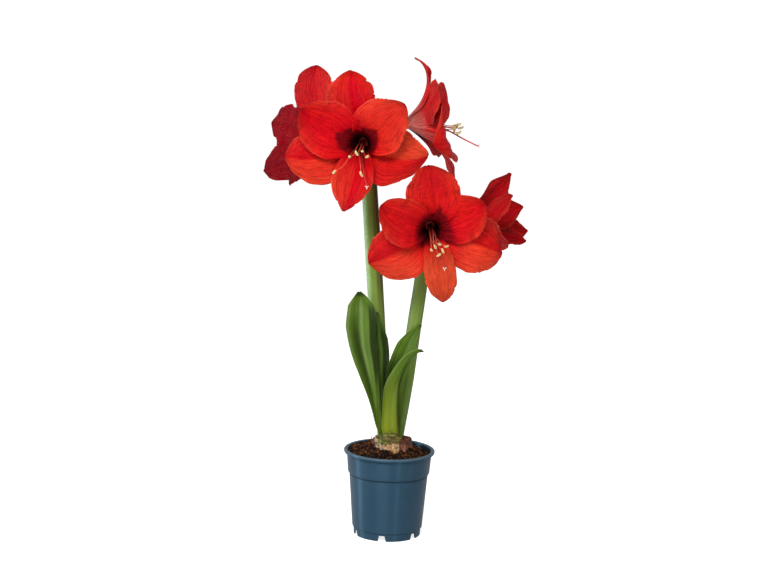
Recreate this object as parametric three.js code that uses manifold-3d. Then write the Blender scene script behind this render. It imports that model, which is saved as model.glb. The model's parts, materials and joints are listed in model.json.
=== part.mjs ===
// A potted amaryllis (Hippeastrum): a bulb in a 12 cm nursery pot, with four strap leaves and
// two flower stems. The tall stem carries three red blooms and the short stem two.
// Millimetres, +Z up, and the big blooms face -Y. The pieces are drawn round the pot's axis, and
// PLACE then sets the whole plant so that the origin is the middle of the ground it covers.
import * as THREE from "three";
import { mergeVertices } from "three/addons/utils/BufferGeometryUtils.js";
import Module from "manifold-3d";

const wasm = await Module();
wasm.setup();

const PLACE = [2, 15.5, 0]; // from the pot's axis to the middle of the plant's box
const GAP = 0.3; // clearance between pieces that rest on each other
const radians = THREE.MathUtils.degToRad;
const vector = (xyz) => new THREE.Vector3(...xyz);
const curveThrough = (places) =>
  new THREE.CatmullRomCurve3(places.map(vector), false, "catmullrom", 0.5);

// ---- driving dimensions -------------------------------------------------------------------

const POT = {
  height: 114,
  rimRadius: 60,
  shoulderRadius: 51.7, // under the step that the rim band starts from
  shoulderHeight: 80.6,
  footRadius: 44,
  footHeight: 10,
  footWall: 1.6,
  floor: 8, // underside of the bottom plate
  wall: 1.3,
  sides: 34,
  notches: 6,
  notchTurn: -8.3, // degrees from the front to the first notch
  notchHeight: 8,
  notchTopWidth: 7,
  notchFootWidth: 10.6,
  drainWidth: 7,
};
const SOIL = {
  floor: POT.floor + POT.wall + GAP,
  edgeTop: 109.6,
  middleTop: 117.5,
  tilt: -0.05, // rise per mm towards +X
  bump: 1.1,
  sides: 34,
};
const BULB = {
  x: 2.5,
  y: 0,
  socketFloor: 121.5, // the neck is hollow down to here, and the leaves and stems stand in it
  socketRadius: 21.4,
  neckTop: 133.2,
  sides: 20,
  rootCount: 5,
  rootRadius: 2.1,
  rootReach: 30,
};
const BLADE = { tepal: 0.9, leaf: 1.7 }; // thicknesses
const OVARY = { radius: 6.3, length: 17 };
const PEDICEL = { radius: 4.2, sides: 7, steps: 8 };

// ---- solids -------------------------------------------------------------------------------

function solidOf(geometry) {
  const bare = new THREE.BufferGeometry();
  bare.setAttribute("position", geometry.getAttribute("position").clone());
  bare.setIndex(geometry.index);
  const merged = mergeVertices(bare, 1e-4);
  return new wasm.Manifold(
    new wasm.Mesh({
      numProp: 3,
      vertProperties: new Float32Array(merged.attributes.position.array),
      triVerts: new Uint32Array(merged.index.array),
    }),
  );
}

function geometryOf(solid) {
  const mesh = solid.getMesh();
  const geometry = new THREE.BufferGeometry();
  geometry.setAttribute("position", new THREE.BufferAttribute(mesh.vertProperties, 3));
  geometry.setIndex(new THREE.BufferAttribute(mesh.triVerts, 1));
  geometry.computeVertexNormals();
  return geometry;
}

// The pieces joined in one solid. Only the largest body stays, so a hollow that the joining
// seals is filled, and a loose scrap is dropped.
function joined(geometries) {
  const whole = geometries.map(solidOf).reduce((a, b) => a.add(b));
  return whole.decompose().reduce((a, b) => (b.volume() > a.volume() ? b : a));
}

function remapped(geometry, move) {
  const position = geometry.getAttribute("position");
  const point = new THREE.Vector3();
  for (let i = 0; i < position.count; i++) {
    const moved = move(point.fromBufferAttribute(position, i).clone());
    position.setXYZ(i, moved.x, moved.y, moved.z);
  }
  return geometry;
}

// A round limb along a curve, closed at both ends. radiusAt takes 0 at the start to 1 at the end.
function limb(curve, radiusAt, sides, steps) {
  const { normals, binormals } = curve.computeFrenetFrames(steps, false);
  return remapped(new THREE.CylinderGeometry(1, 1, 1, sides, steps), (p) => {
    const t = p.y + 0.5;
    const i = Math.round(t * steps);
    const r = radiusAt(t);
    return curve
      .getPointAt(t)
      .addScaledVector(binormals[i], p.x * r)
      .addScaledVector(normals[i], p.z * r);
  });
}

// A thin blade with both faces of a surface, joined round the rim. surfaceAt takes u from -1 to
// 1 across and v from 0 to 1 along. Both faces are split alike, so they never cross.
function blade(surfaceAt, across, along, thickness) {
  const STEP = 1e-3;
  const points = [];
  for (const side of [0.5, -0.5])
    for (let j = 0; j <= along; j++)
      for (let i = 0; i <= across; i++) {
        const [u, v] = [(2 * i) / across - 1, j / along];
        const du = surfaceAt(u + STEP, v).sub(surfaceAt(u - STEP, v));
        const [low, high] = [Math.max(v - STEP, 0), Math.min(v + STEP, 1)];
        const dv = surfaceAt(u, high).sub(surfaceAt(u, low));
        const normal = du.cross(dv).normalize();
        points.push(surfaceAt(u, v).addScaledVector(normal, side * thickness));
      }
  const row = across + 1;
  const back = row * (along + 1);
  const index = [];
  const face = (a, b, c) => index.push(a, b, c, a + back, c + back, b + back);
  for (let j = 0; j < along; j++)
    for (let i = 0; i < across; i++) {
      const [a, b] = [j * row + i, j * row + i + 1];
      const [c, d] = [b + row, a + row];
      if (i < across / 2) {
        face(a, b, c);
        face(a, c, d);
      } else {
        face(a, b, d);
        face(b, c, d);
      }
    }
  const rim = (a, b) => index.push(a, b + back, b, a, a + back, b + back);
  for (let i = 0; i < across; i++) {
    rim(i, i + 1);
    rim(along * row + i + 1, along * row + i);
  }
  for (let j = 0; j < along; j++) {
    rim((j + 1) * row, j * row);
    rim(j * row + across, (j + 1) * row + across);
  }
  const geometry = new THREE.BufferGeometry();
  geometry.setAttribute(
    "position",
    new THREE.Float32BufferAttribute(points.flatMap((p) => p.toArray()), 3),
  );
  geometry.setIndex(index);
  return geometry;
}

// ---- tepals -------------------------------------------------------------------------------

// A tepal leaves the tube nearly along the flower's axis, flares out, and curls back at its tip.
// turn: degrees round the axis, 0 to the viewer's right and 90 up. long and wide: its length and
// half width in mm. flare and recurve: degrees from the axis, at its middle and added at its tip.
// cup: how far its sides bend inwards. bend and twist: degrees to one side. widest and blunt:
// where its outline is widest, and how blunt its tip is. round: 1 for a pointed tip, less for a
// rounder one. wave: how far its margins ripple, in mm.
const TEPAL = {
  outer: { foot: 6.4, start: 14, widest: 0.62, blunt: 1.9, keel: 1.5 },
  inner: { foot: 5.2, start: 10, widest: 0.6, blunt: 2.2, keel: 1.1 },
  common: {
    long: 122, wide: 34, flare: 70, recurve: 32, flareFrom: 0.05, flareTo: 0.6,
    curlFrom: 0.62, cup: -0.25, bend: 0, twist: 0, wave: 2.2, phase: 0, base: 5.4, tip: 1.4,
  },
  steps: 60,
  across: 4,
  along: 8,
};

function tepalSurface(given) {
  const t = { ...TEPAL.common, ...TEPAL[given.whorl], ...given };
  const smooth = (x) => THREE.MathUtils.smoothstep(x, 0, 1);
  const lean = (v) =>
    radians(
      t.start +
        (t.flare - t.start) * smooth((v - t.flareFrom) / (t.flareTo - t.flareFrom)) +
        t.recurve * Math.max(0, (v - t.curlFrom) / (1 - t.curlFrom)) ** 1.5,
    );
  const reach = [t.foot];
  const depth = [0.6];
  const piece = t.long / TEPAL.steps;
  for (let i = 0; i < TEPAL.steps; i++) {
    const angle = lean((i + 0.5) / TEPAL.steps);
    reach.push(reach[i] + piece * Math.sin(angle));
    depth.push(depth[i] + piece * Math.cos(angle));
  }
  const along = (list, v) => {
    const x = THREE.MathUtils.clamp(v, 0, 1) * TEPAL.steps;
    const i = Math.min(Math.floor(x), TEPAL.steps - 1);
    return list[i] + (list[i + 1] - list[i]) * (x - i);
  };
  const halfWidth = (v) => {
    if (v < t.widest) return t.base + (t.wide - t.base) * smooth(v / t.widest);
    const past = (v - t.widest) / (1 - t.widest);
    return t.tip + (t.wide - t.tip) * (1 - past ** t.blunt) ** t.round;
  };
  return (u, v) => {
    const angle = lean(v);
    const rho = along(reach, v);
    const s = u * halfWidth(v);
    const far = smooth((v - 0.35) / 0.45);
    const curve = Math.cos(angle) / rho + (far * t.cup) / t.wide;
    const bent = Math.abs(curve * s) < 1e-4;
    let side = bent ? s : Math.sin(curve * s) / curve;
    let lift = bent ? 0 : (1 - Math.cos(curve * s)) / curve;
    lift -= t.keel * far * (1 - v * v) * Math.exp(-((s / 5) ** 2));
    const ripple = Math.sin(2 * Math.PI * (2.6 * v + t.phase) + (u > 0 ? 0 : 2.1));
    lift += t.wave * far * Math.abs(u) ** 2.5 * ripple;
    const spin = radians(t.twist) * v * v;
    [side, lift] = [
      side * Math.cos(spin) - lift * Math.sin(spin),
      side * Math.sin(spin) + lift * Math.cos(spin),
    ];
    const turn = radians(t.turn + t.bend * v * v);
    const out = rho - lift * Math.cos(angle);
    return new THREE.Vector3(
      out * Math.cos(turn) - side * Math.sin(turn),
      out * Math.sin(turn) + side * Math.cos(turn),
      along(depth, v) + lift * Math.sin(angle),
    );
  };
}

// The tube that the six tepals of a bloom grow from.
function tubeRing() {
  const profile = [[4.5, 0], [7.4, 0], [7.6, 4], [4.5, 4], [4.5, 0]];
  const ring = new THREE.LatheGeometry(profile.map(([r, z]) => new THREE.Vector2(r, z)), 12);
  return ring.rotateX(Math.PI / 2);
}

function tepals(list, round) {
  const { across, along } = TEPAL;
  const surfaces = list.map((t) => tepalSurface({ round, ...t }));
  const blades = surfaces.map((surface) => blade(surface, across, along, BLADE.tepal));
  return geometryOf(joined([tubeRing(), ...blades]));
}

// ---- stamens and style --------------------------------------------------------------------

// Six filaments and the style rise from one foot in the tube, run along the lower side of the
// funnel and turn up at their ends. Each end is given in the flower's frame.
const STAMEN = { foot: 3.4, ring: 2.3, filament: 0.8, style: 0.95, sides: 3, steps: 4 };

function filamentCurve([x, y, z], root, turnUp) {
  const middle = new THREE.Vector3(x * 0.2 + root.x * 1.3, y * 0.2 - 2 + root.y * 1.3, z * 0.48);
  const late = new THREE.Vector3(x * 0.68, y * 0.72 - turnUp, z * 0.83);
  return new THREE.CatmullRomCurve3([root, middle, late, new THREE.Vector3(x, y, z)]);
}

function stamens(ends, stigma) {
  const foot = new THREE.CylinderGeometry(STAMEN.foot - 0.4, STAMEN.foot, 4, 8);
  foot.rotateX(Math.PI / 2).translate(0, 0, 2);
  const pieces = [foot];
  // the roots go round the foot in the order of the ends, so that the filaments don't cross
  const side = ([x, y]) => Math.atan2(x, -y - 13);
  const order = [...ends].sort((a, b) => side(a) - side(b));
  order.forEach((end, i) => {
    const a = radians(-150 + 60 * i);
    const root = new THREE.Vector3(STAMEN.ring * Math.sin(a), -STAMEN.ring * Math.cos(a), 3);
    const { filament, sides, steps } = STAMEN;
    pieces.push(limb(filamentCurve(end, root, 3), (t) => filament * (1 - 0.2 * t), sides, steps));
    const anther = new THREE.SphereGeometry(1, 4, 3).scale(1.5, 3.7, 1.5);
    anther.rotateX(1 + 0.5 * Math.cos(1.7 * i)).rotateY(0.9 * Math.sin(2.3 * i));
    pieces.push(anther.translate(...end));
  });
  const curve = filamentCurve(stigma, new THREE.Vector3(0, 0, 3), 1.5);
  pieces.push(limb(curve, () => STAMEN.style, STAMEN.sides, STAMEN.steps));
  for (let i = 0; i < 3; i++) {
    const lobe = new THREE.ConeGeometry(1.1, 4.5, 4).translate(0, 1.6, 0).rotateX(Math.PI / 2);
    lobe.rotateX(0.75).rotateZ((i * 2 * Math.PI) / 3);
    pieces.push(lobe.translate(...stigma));
  }
  return geometryOf(joined(pieces));
}

// ---- blooms -------------------------------------------------------------------------------

// at: the foot of the tube. left and down: degrees that the bloom faces away from -Y.
// round: how round its tepals' tips are, as above.
const BLOOMS = {
  tall_front: {
    at: [-45, -22, 520], left: 6, down: 2, round: 0.72,
    tepals: [
      {
        whorl: "outer", turn: 104, long: 117, wide: 32.5, flare: 73, recurve: 48, bend: -6,
        blunt: 2.3,
      },
      {
        whorl: "outer", turn: 205, long: 118, wide: 34.5, flare: 72, recurve: 50, bend: -14,
        blunt: 2.2,
      },
      {
        whorl: "outer", turn: -24, long: 109, wide: 38.5, flare: 72, recurve: 6, bend: 19, twist: -18,
        widest: 0.57, blunt: 1.4,
      },
      {
        whorl: "inner", turn: 154, long: 116, wide: 37, flare: 61, recurve: 6, bend: -7,
        twist: -7, blunt: 2,
      },
      {
        whorl: "inner", turn: 43, long: 112, wide: 36.4, flare: 59, recurve: 26, twist: -16,
        widest: 0.55, blunt: 1.9,
      },
      {
        whorl: "inner", turn: 264, long: 114, wide: 26.3, flare: 56, recurve: 30, bend: -4, twist: 14,
        round: 0.9,
      },
    ],
    ends: [[0, -7, 67], [7, -4, 69], [-8, -11, 72], [13, -11, 66], [-26, -30, 78], [8, -31, 80]],
    stigma: [16, -46, 84],
  },
  tall_left: {
    at: [-64, 22, 517], left: 54, down: 2, round: 0.72,
    tepals: [
      {
        whorl: "outer", turn: 95, long: 120, wide: 38.5, flare: 77, recurve: 24, bend: -7,
        twist: 23, cup: 0,
      },
      { whorl: "outer", turn: 208, long: 134, wide: 26, flare: 68, recurve: 22, bend: -3 },
      { whorl: "outer", turn: -30, long: 92, wide: 25, flare: 34, recurve: 10 },
      { whorl: "inner", turn: 160, long: 118, wide: 32.6, flare: 65, recurve: 37, bend: 6, twist: 4 },
      { whorl: "inner", turn: 28, long: 92, wide: 25, flare: 30, recurve: 10 },
      { whorl: "inner", turn: 227, long: 107, wide: 15, flare: 58, recurve: 55, bend: 2, twist: 6 },
    ],
    ends: [[-6, -8, 60], [2, -6, 63], [-10, -11, 64], [8, -11, 61], [-9, -16, 68], [4, -17, 70]],
    stigma: [-4, -26, 80],
  },
  tall_right: {
    at: [9, 22, 541], left: -82, down: -10, round: 1,
    tepals: [
      {
        whorl: "outer", turn: 95, long: 96, wide: 25, start: 38, flare: 64, recurve: 84, bend: 6,
        twist: 6, curlFrom: 0.45, widest: 0.42, blunt: 0.9, cup: 0.9,
      },
      {
        whorl: "outer", turn: 204, long: 114, wide: 42, start: 38, flare: 37, recurve: 135, bend: -6,
        twist: 16, curlFrom: 0.44, widest: 0.56, blunt: 1.7, cup: 0,
      },
      { whorl: "outer", turn: -50, long: 66, wide: 26, start: 44, flare: 58, recurve: 24 },
      { whorl: "inner", turn: 146, long: 94, wide: 30, start: 34, flare: 58, recurve: 10 },
      { whorl: "inner", turn: 24, long: 94, wide: 26, flare: 67, recurve: 40, bend: 10, twist: -9 },
      {
        whorl: "inner", turn: 256, long: 108, wide: 22, start: 30, flare: 63, recurve: 48, twist: -25,
      },
    ],
    ends: [[-2, -12, 60], [-3, -10, 67], [-9, -15, 62], [-11, -20, 67], [4, -12, 64], [3, -15, 69]],
    stigma: [-8, -40, 88],
  },
  short_front: {
    at: [42, -24, 417], left: -5, down: 9, round: 0.72,
    tepals: [
      {
        whorl: "outer", turn: 88, long: 115, wide: 35, flare: 73, recurve: 8, bend: 10, twist: 12,
        blunt: 2.3,
      },
      { whorl: "outer", turn: 215, long: 108, wide: 38.6, flare: 74, recurve: 34, bend: -9, twist: -4 },
      {
        whorl: "outer", turn: -8, long: 118, wide: 38.6, flare: 79, recurve: 62, bend: -8, twist: -20,
        blunt: 1.6, cup: -0.37,
      },
      {
        whorl: "inner", turn: 160, long: 106, wide: 31.6, flare: 64, recurve: 25, bend: -10, twist: 16,
        widest: 0.57, cup: 0,
      },
      {
        whorl: "inner", turn: 29, long: 101, wide: 31.2, flare: 67, recurve: 5, bend: 7,
        twist: -16, blunt: 2.1,
      },
      {
        whorl: "inner", turn: 285, long: 116, wide: 20.5, flare: 66, recurve: 54, bend: -4,
        blunt: 2.6,
      },
    ],
    ends: [[2, -11, 63], [7, -7, 65], [16, -10, 64], [6, -19, 72], [-3, -14, 67], [11, -14, 70]],
    stigma: [13, -33, 81],
  },
  short_right: {
    at: [76, 24, 408], left: -74, down: -13, round: 1,
    tepals: [
      {
        whorl: "outer", turn: 52, long: 103, wide: 21, start: 26, flare: 46, recurve: 20, bend: -6,
        twist: -22, blunt: 1.5, cup: 0,
      },
      { whorl: "outer", turn: 208, long: 98, wide: 24, flare: 40, recurve: 10 },
      { whorl: "outer", turn: -31, long: 101, wide: 22.4, flare: 44, recurve: 3, bend: 8, twist: -10 },
      { whorl: "inner", turn: 151, long: 102, wide: 19, flare: 29, recurve: 8, bend: -11 },
      { whorl: "inner", turn: 19, long: 92, wide: 21.6, flare: 23, recurve: 5, bend: -5 },
      { whorl: "inner", turn: 296, long: 94, wide: 15.6, flare: 32, recurve: 7, bend: 14, twist: 7 },
    ],
    ends: [[-5, -10, 58], [-3, -6, 48], [-1, -6, 42], [2, -6, 50], [3, -8, 45], [0, -3, 46]],
    stigma: [-4, -11, 56],
  },
};

// The bloom's frame: x to the viewer's right, y up and z the way it faces.
function bloomFrame({ at, left, down }) {
  const [a, d] = [radians(left), radians(down)];
  const axis = new THREE.Vector3(
    -Math.sin(a) * Math.cos(d),
    -Math.cos(a) * Math.cos(d),
    -Math.sin(d),
  );
  const right = new THREE.Vector3(0, 0, 1).cross(axis).normalize();
  const up = axis.clone().cross(right);
  const turned = new THREE.Matrix4().makeBasis(right, up, axis);
  return { at: vector(at), axis, turned };
}

const SIMPLE_RED = { color: 0xd51a12, roughness: 0.5 };

function bloom(name, given) {
  const group = new THREE.Group();
  const { at, turned } = bloomFrame(given);
  group.position.copy(at);
  group.quaternion.setFromRotationMatrix(turned);
  const shape = tepals(given.tepals, given.round);
  group.add(named(`${name}_tepals`, shape, SIMPLE_RED));
  const inside = stamens(given.ends, given.stigma);
  group.add(named(`${name}_stamens`, inside, { color: 0xe7b98a, roughness: 0.6 }));
  return group;
}

// ---- stems --------------------------------------------------------------------------------

const SHAFT = { sides: 10, steps: 9 };

const STEMS = {
  tall: {
    line: [
      [-6.9, 6.4, 120.5], [-14.5, 8.5, 205], [-24.8, 8, 325], [-30.3, 7, 390], [-36.5, 5, 462],
      [-39.5, 4, 496],
    ],
    radius: [8.2, 10.4, 10.7, 9.9],
    blooms: ["tall_front", "tall_left", "tall_right"],
  },
  short: {
    line: [[9.3, 6.4, 120.5], [17.6, 7, 187], [26.9, 5, 274], [33.5, 4, 330], [39.5, 3, 392]],
    radius: [7.3, 9.5, 9.4, 8.4],
    blooms: ["short_front", "short_right"],
  },
};

function between(list, t) {
  const x = t * (list.length - 1);
  const i = Math.min(Math.floor(x), list.length - 2);
  return list[i] + (list[i + 1] - list[i]) * (x - i);
}

// The pedicel and ovary that carry one bloom, from the top of its stem.
function pedicel(from, given) {
  const { at, axis } = bloomFrame(given);
  const end = at.clone().addScaledVector(axis, -GAP);
  const neck = at.clone().addScaledVector(axis, -OVARY.length);
  const along = new THREE.CatmullRomCurve3([from, from.clone().lerp(neck, 0.5), neck, end]);
  const length = along.getLength();
  return limb(
    along,
    (t) => {
      const left = (1 - t) * length;
      const swell = left < OVARY.length ? Math.sin((Math.PI * left) / OVARY.length) ** 0.7 : 0;
      const collar = Math.max(0, 1 - left / 4);
      return PEDICEL.radius + (OVARY.radius - PEDICEL.radius) * Math.max(swell, collar);
    },
    PEDICEL.sides,
    PEDICEL.steps,
  );
}

function stem(given) {
  const line = curveThrough(given.line);
  const shaft = limb(line, (t) => between(given.radius, t), SHAFT.sides, SHAFT.steps);
  remapped(shaft, (p) => p.setZ(Math.max(p.z, BULB.socketFloor + GAP)));
  const top = line.getPointAt(0.985);
  const cap = new THREE.SphereGeometry(given.radius.at(-1) * 1.06, 8, 4).rotateX(Math.PI / 2);
  cap.translate(...line.getPointAt(1).toArray());
  const arms = given.blooms.map((name) => pedicel(top, BLOOMS[name]));
  return geometryOf(joined([shaft, cap, ...arms]));
}

// ---- leaves -------------------------------------------------------------------------------

// line: the midrib. faces: the way the blade's upper face looks, spread from foot to tip. wide:
// half widths from foot to tip. fold: how far its sides fold towards that face, in degrees.
const LEAVES = {
  leaf_left: {
    line: [
      [-10.5, -8, 122.2], [-12.2, -8.5, 134], [-17.8, -9.5, 151], [-25.2, -13, 189], [-33, -16, 223],
      [-39.8, -19, 252], [-42.8, -20, 277], [-43, -16, 298], [-43.8, -8, 313], [-45.5, 1, 322],
    ],
    faces: [[0.5, -0.9, 0.2], [0.4, -0.9, 0.2], [0.25, -1, 0.3], [0.1, -1, 0.6]],
    wide: [3, 3.8, 6.8, 12.2, 17.6, 21.2, 22.8, 24.4, 20, 2.4],
    fold: [50, 46, 40, 32, 22],
  },
  leaf_left_inner: {
    line: [
      [-5.5, -6, 122], [-10.5, -6.6, 163], [-10.8, -5.6, 216], [-11.6, -5.6, 248], [-18, -5.8, 284],
      [-21.5, -4, 297],
    ],
    faces: [[0.8, -0.4, 0.2], [-0.05, -1, 0.2], [-0.4, -0.95, 0.3]],
    wide: [3.4, 3.8, 6, 9.3, 9.4, 1.8],
    fold: [45, 45, 28, 25],
  },
  leaf_right: {
    line: [
      [6, -6, 122], [6, -7.5, 154], [7.8, -9.6, 200], [12.2, -10.1, 232], [22.1, -10.8, 261],
      [36, -10, 283],
    ],
    faces: [[-0.2, -1, 0.1], [-0.3, -1, 0.1], [-0.25, -1, 0.3], [-0.2, -0.8, 0.6]],
    wide: [6, 9, 14.3, 19, 15.2, 1.8],
    fold: [8, 25, 35, 20],
  },
  leaf_front: {
    line: [
      [3, -15, 122.6], [-0.5, -17.5, 149], [-0.5, -19.5, 186], [3.4, -22.5, 209],
      [17, -26.5, 237], [30, -31, 250.5], [39, -35, 253.5],
    ],
    faces: [[0.05, 1, 0], [0.1, 1, 0.05], [-0.2, 0.85, 0.55], [-0.2, 0.7, 0.7]],
    wide: [9, 12.6, 11.8, 11.6, 8.6, 5.8, 2.6],
    fold: [20, 24, 25, 30, 20],
  },
};

function leaf(given) {
  const line = curveThrough(given.line);
  const looks = curveThrough(given.faces);
  const surfaceAt = (u, v) => {
    const tangent = line.getTangentAt(v);
    const side = tangent.clone().cross(looks.getPoint(v)).normalize();
    const face = side.clone().cross(tangent);
    const s = Math.abs(u) * between(given.wide, v);
    const bow = radians(between(given.fold, v));
    const reach = Math.sign(u) * s * Math.cos(bow * 0.5 * (1 + Math.abs(u)));
    const lift = s * Math.sin(bow * 0.5 * (1 + 0.4 * Math.abs(u)));
    return line.getPointAt(v).addScaledVector(side, -reach).addScaledVector(face, lift);
  };
  return geometryOf(solidOf(blade(surfaceAt, 4, 13, BLADE.leaf)));
}

// ---- bulb, soil and pot -------------------------------------------------------------------

// grown is how far the shape stands outside the bulb, which is how the soil's hollow is cut.
function bulbBody(grown) {
  // radius and height, from the base over the belly to the rim of the neck
  const outline = [
    [0, 34], [15, 35], [23, 41], [33, 54], [38, 71], [36.5, 86], [31, 101], [27, 113], [24.4, 124],
    [23.2, 132.5],
  ].map(([r, z], i) => new THREE.Vector2(r ? r + grown : 0, i < 2 ? z - grown : z));
  const { socketRadius, socketFloor, neckTop } = BULB;
  const socket = [[socketRadius + 0.2, neckTop], [socketRadius, socketFloor], [0, socketFloor]];
  const plug = [[0, neckTop + 6.8]];
  const top = grown ? plug : socket;
  outline.push(...top.map(([r, z]) => new THREE.Vector2(r, z)));
  const body = new THREE.LatheGeometry(outline, BULB.sides).rotateX(Math.PI / 2);
  remapped(body, (p) => {
    const r = Math.hypot(p.x, p.y);
    if (r < socketRadius + 0.1 || p.z > neckTop + 1) return p;
    const a = Math.atan2(p.y, p.x);
    const high = THREE.MathUtils.smoothstep(p.z, 96, 116);
    const swell = 1 + high * (0.03 * Math.sin(3 * a + 0.6) + 0.025 * Math.sin(5 * a + 2));
    // the cut scales stand highest in front, and the rim falls away on both sides
    const rise = p.z > 128 ? 11.5 * Math.exp(-(((a + 1.45) / 0.55) ** 2)) - 3.5 : 0;
    return new THREE.Vector3(p.x * swell, p.y * swell, p.z + rise);
  });
  return body.translate(BULB.x, BULB.y, 0);
}

function bulbRoots(grown) {
  return Array.from({ length: BULB.rootCount }, (_, i) => {
    const a = (2 * Math.PI * (i + 0.3)) / BULB.rootCount;
    const at = (r, z) => new THREE.Vector3(r * Math.cos(a), r * Math.sin(a), z);
    const far = BULB.rootReach + 3 * Math.sin(5 * i);
    const end = at(far + 1.5 * grown, 17 - grown);
    const line = new THREE.CatmullRomCurve3([at(12, 40), at(17, 30), at(24, 23), end]);
    return limb(line, (t) => BULB.rootRadius - 0.9 * t + 1.7 * grown, 4, 3);
  });
}

function pot() {
  const { height, rimRadius, shoulderRadius, shoulderHeight, footRadius, footHeight, wall } = POT;
  const { floor, footWall, drainWidth } = POT;
  const profile = [
    // the bottom plate and the foot ring
    [0, floor], [footRadius - footWall, floor], [footRadius - footWall, 0], [footRadius, 0],
    [footRadius + 0.7, footHeight - 0.4], [footRadius + 2.3, footHeight + 1.6],
    // the outer wall, its step, the band above it and the lip
    [shoulderRadius, shoulderHeight], [shoulderRadius + 2.1, shoulderHeight + 3.4],
    [rimRadius - 4.1, height - 4.4], [rimRadius - 0.4, height - 4.1], [rimRadius, height - 1.2],
    [rimRadius - 1.1, height], [rimRadius - 4.4, height],
    // the inner wall, down to the top of the bottom plate
    [rimRadius - 5.4, height - 1.2], [shoulderRadius + 2.1 - wall, shoulderHeight + 4],
    [shoulderRadius - wall, shoulderHeight + 0.4], [footRadius + 0.8, floor + wall], [0, floor + wall],
  ];
  const shell = new THREE.LatheGeometry(
    profile.map(([r, z]) => new THREE.Vector2(r, z)),
    POT.sides,
  ).rotateX(Math.PI / 2);
  let solid = solidOf(shell);
  const notch = new THREE.Shape([
    new THREE.Vector2(-POT.notchFootWidth / 2 - 0.5, -1),
    new THREE.Vector2(POT.notchFootWidth / 2 + 0.5, -1),
    new THREE.Vector2(POT.notchTopWidth / 2, POT.notchHeight - GAP),
    new THREE.Vector2(-POT.notchTopWidth / 2, POT.notchHeight - GAP),
  ]);
  const notchDepth = 20;
  const notchInside = footRadius - 10;
  for (let i = 0; i < POT.notches; i++) {
    const turn = radians(POT.notchTurn + (360 / POT.notches) * i);
    const foot = new THREE.ExtrudeGeometry(notch, { depth: notchDepth, bevelEnabled: false });
    foot.rotateX(Math.PI / 2).translate(0, -notchInside, 0).rotateZ(turn);
    const drain = new THREE.BoxGeometry(drainWidth, drainWidth, 6);
    drain.translate(0, 8 - footRadius, floor + 1).rotateZ(turn);
    solid = solid.subtract(solidOf(foot)).subtract(solidOf(drain));
  }
  return geometryOf(solid);
}

// The soil fills the pot to a low mound, with a rough top and a hollow for the bulb and roots.
function soil() {
  const { floor, edgeTop, middleTop } = SOIL;
  const room = POT.shoulderRadius - POT.wall - 0.3 - GAP;
  const outline = [
    [0, floor], [POT.footRadius + 0.6 - GAP, floor], [room, POT.shoulderHeight + 0.4],
    [room + 2.1, POT.shoulderHeight + 4.1], [room + 3.9, edgeTop - 3.6], [room + 3.3, edgeTop],
    [47, 110.8], [40, 112.4], [33, 115], [27, middleTop], [0, middleTop],
  ];
  const heap = new THREE.LatheGeometry(
    outline.map(([r, z]) => new THREE.Vector2(r, z)),
    SOIL.sides,
  ).rotateX(Math.PI / 2);
  remapped(heap, (p) => {
    if (p.z < edgeTop - 1) return p;
    const r = Math.hypot(p.x, p.y);
    const rough = Math.sin(p.x * 1.7 + 2 * Math.sin(p.y * 0.9)) * Math.cos(p.y * 1.3 + p.x * 0.4);
    p.z += SOIL.tilt * p.x + (r > 1 && r < 50 ? SOIL.bump * rough : 0);
    return p;
  });
  let solid = solidOf(heap).subtract(solidOf(bulbBody(GAP)));
  for (const root of bulbRoots(GAP)) solid = solid.subtract(solidOf(root));
  return geometryOf(solid);
}

// ---- the plant ----------------------------------------------------------------------------

function named(name, geometry, look) {
  const mesh = new THREE.Mesh(geometry, new THREE.MeshStandardMaterial(look));
  mesh.name = name;
  return mesh;
}

const plant = new THREE.Group();
plant.position.set(...PLACE);
plant.add(named("pot", pot(), { color: 0x3b5a72, roughness: 0.45 }));
plant.add(named("soil", soil(), { color: 0x3a2116, roughness: 0.95 }));
const bulb = geometryOf(joined([bulbBody(0), ...bulbRoots(0)]));
plant.add(named("bulb", bulb, { color: 0xa5764c, roughness: 0.8 }));
for (const [name, given] of Object.entries(STEMS))
  plant.add(named(`${name}_stem`, stem(given), { color: 0x7f9a4e, roughness: 0.5 }));
for (const [name, given] of Object.entries(LEAVES))
  plant.add(named(name, leaf(given), { color: 0x44702a, roughness: 0.45 }));
for (const [name, given] of Object.entries(BLOOMS)) plant.add(bloom(name, given));

export default plant;
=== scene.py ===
"""A red amaryllis in bloom: a bulb in a blue plastic nursery pot, four strap leaves, and two stems.

Shapes are drawn in millimetres round the pot's axis, and placed() turns them into metres in the
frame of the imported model. Each grown piece follows the same rule as its solid, with finer faces.
"""

import json
import math
from types import SimpleNamespace

import bmesh
import bpy
import numpy as np
from mathutils import Matrix, Vector

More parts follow.
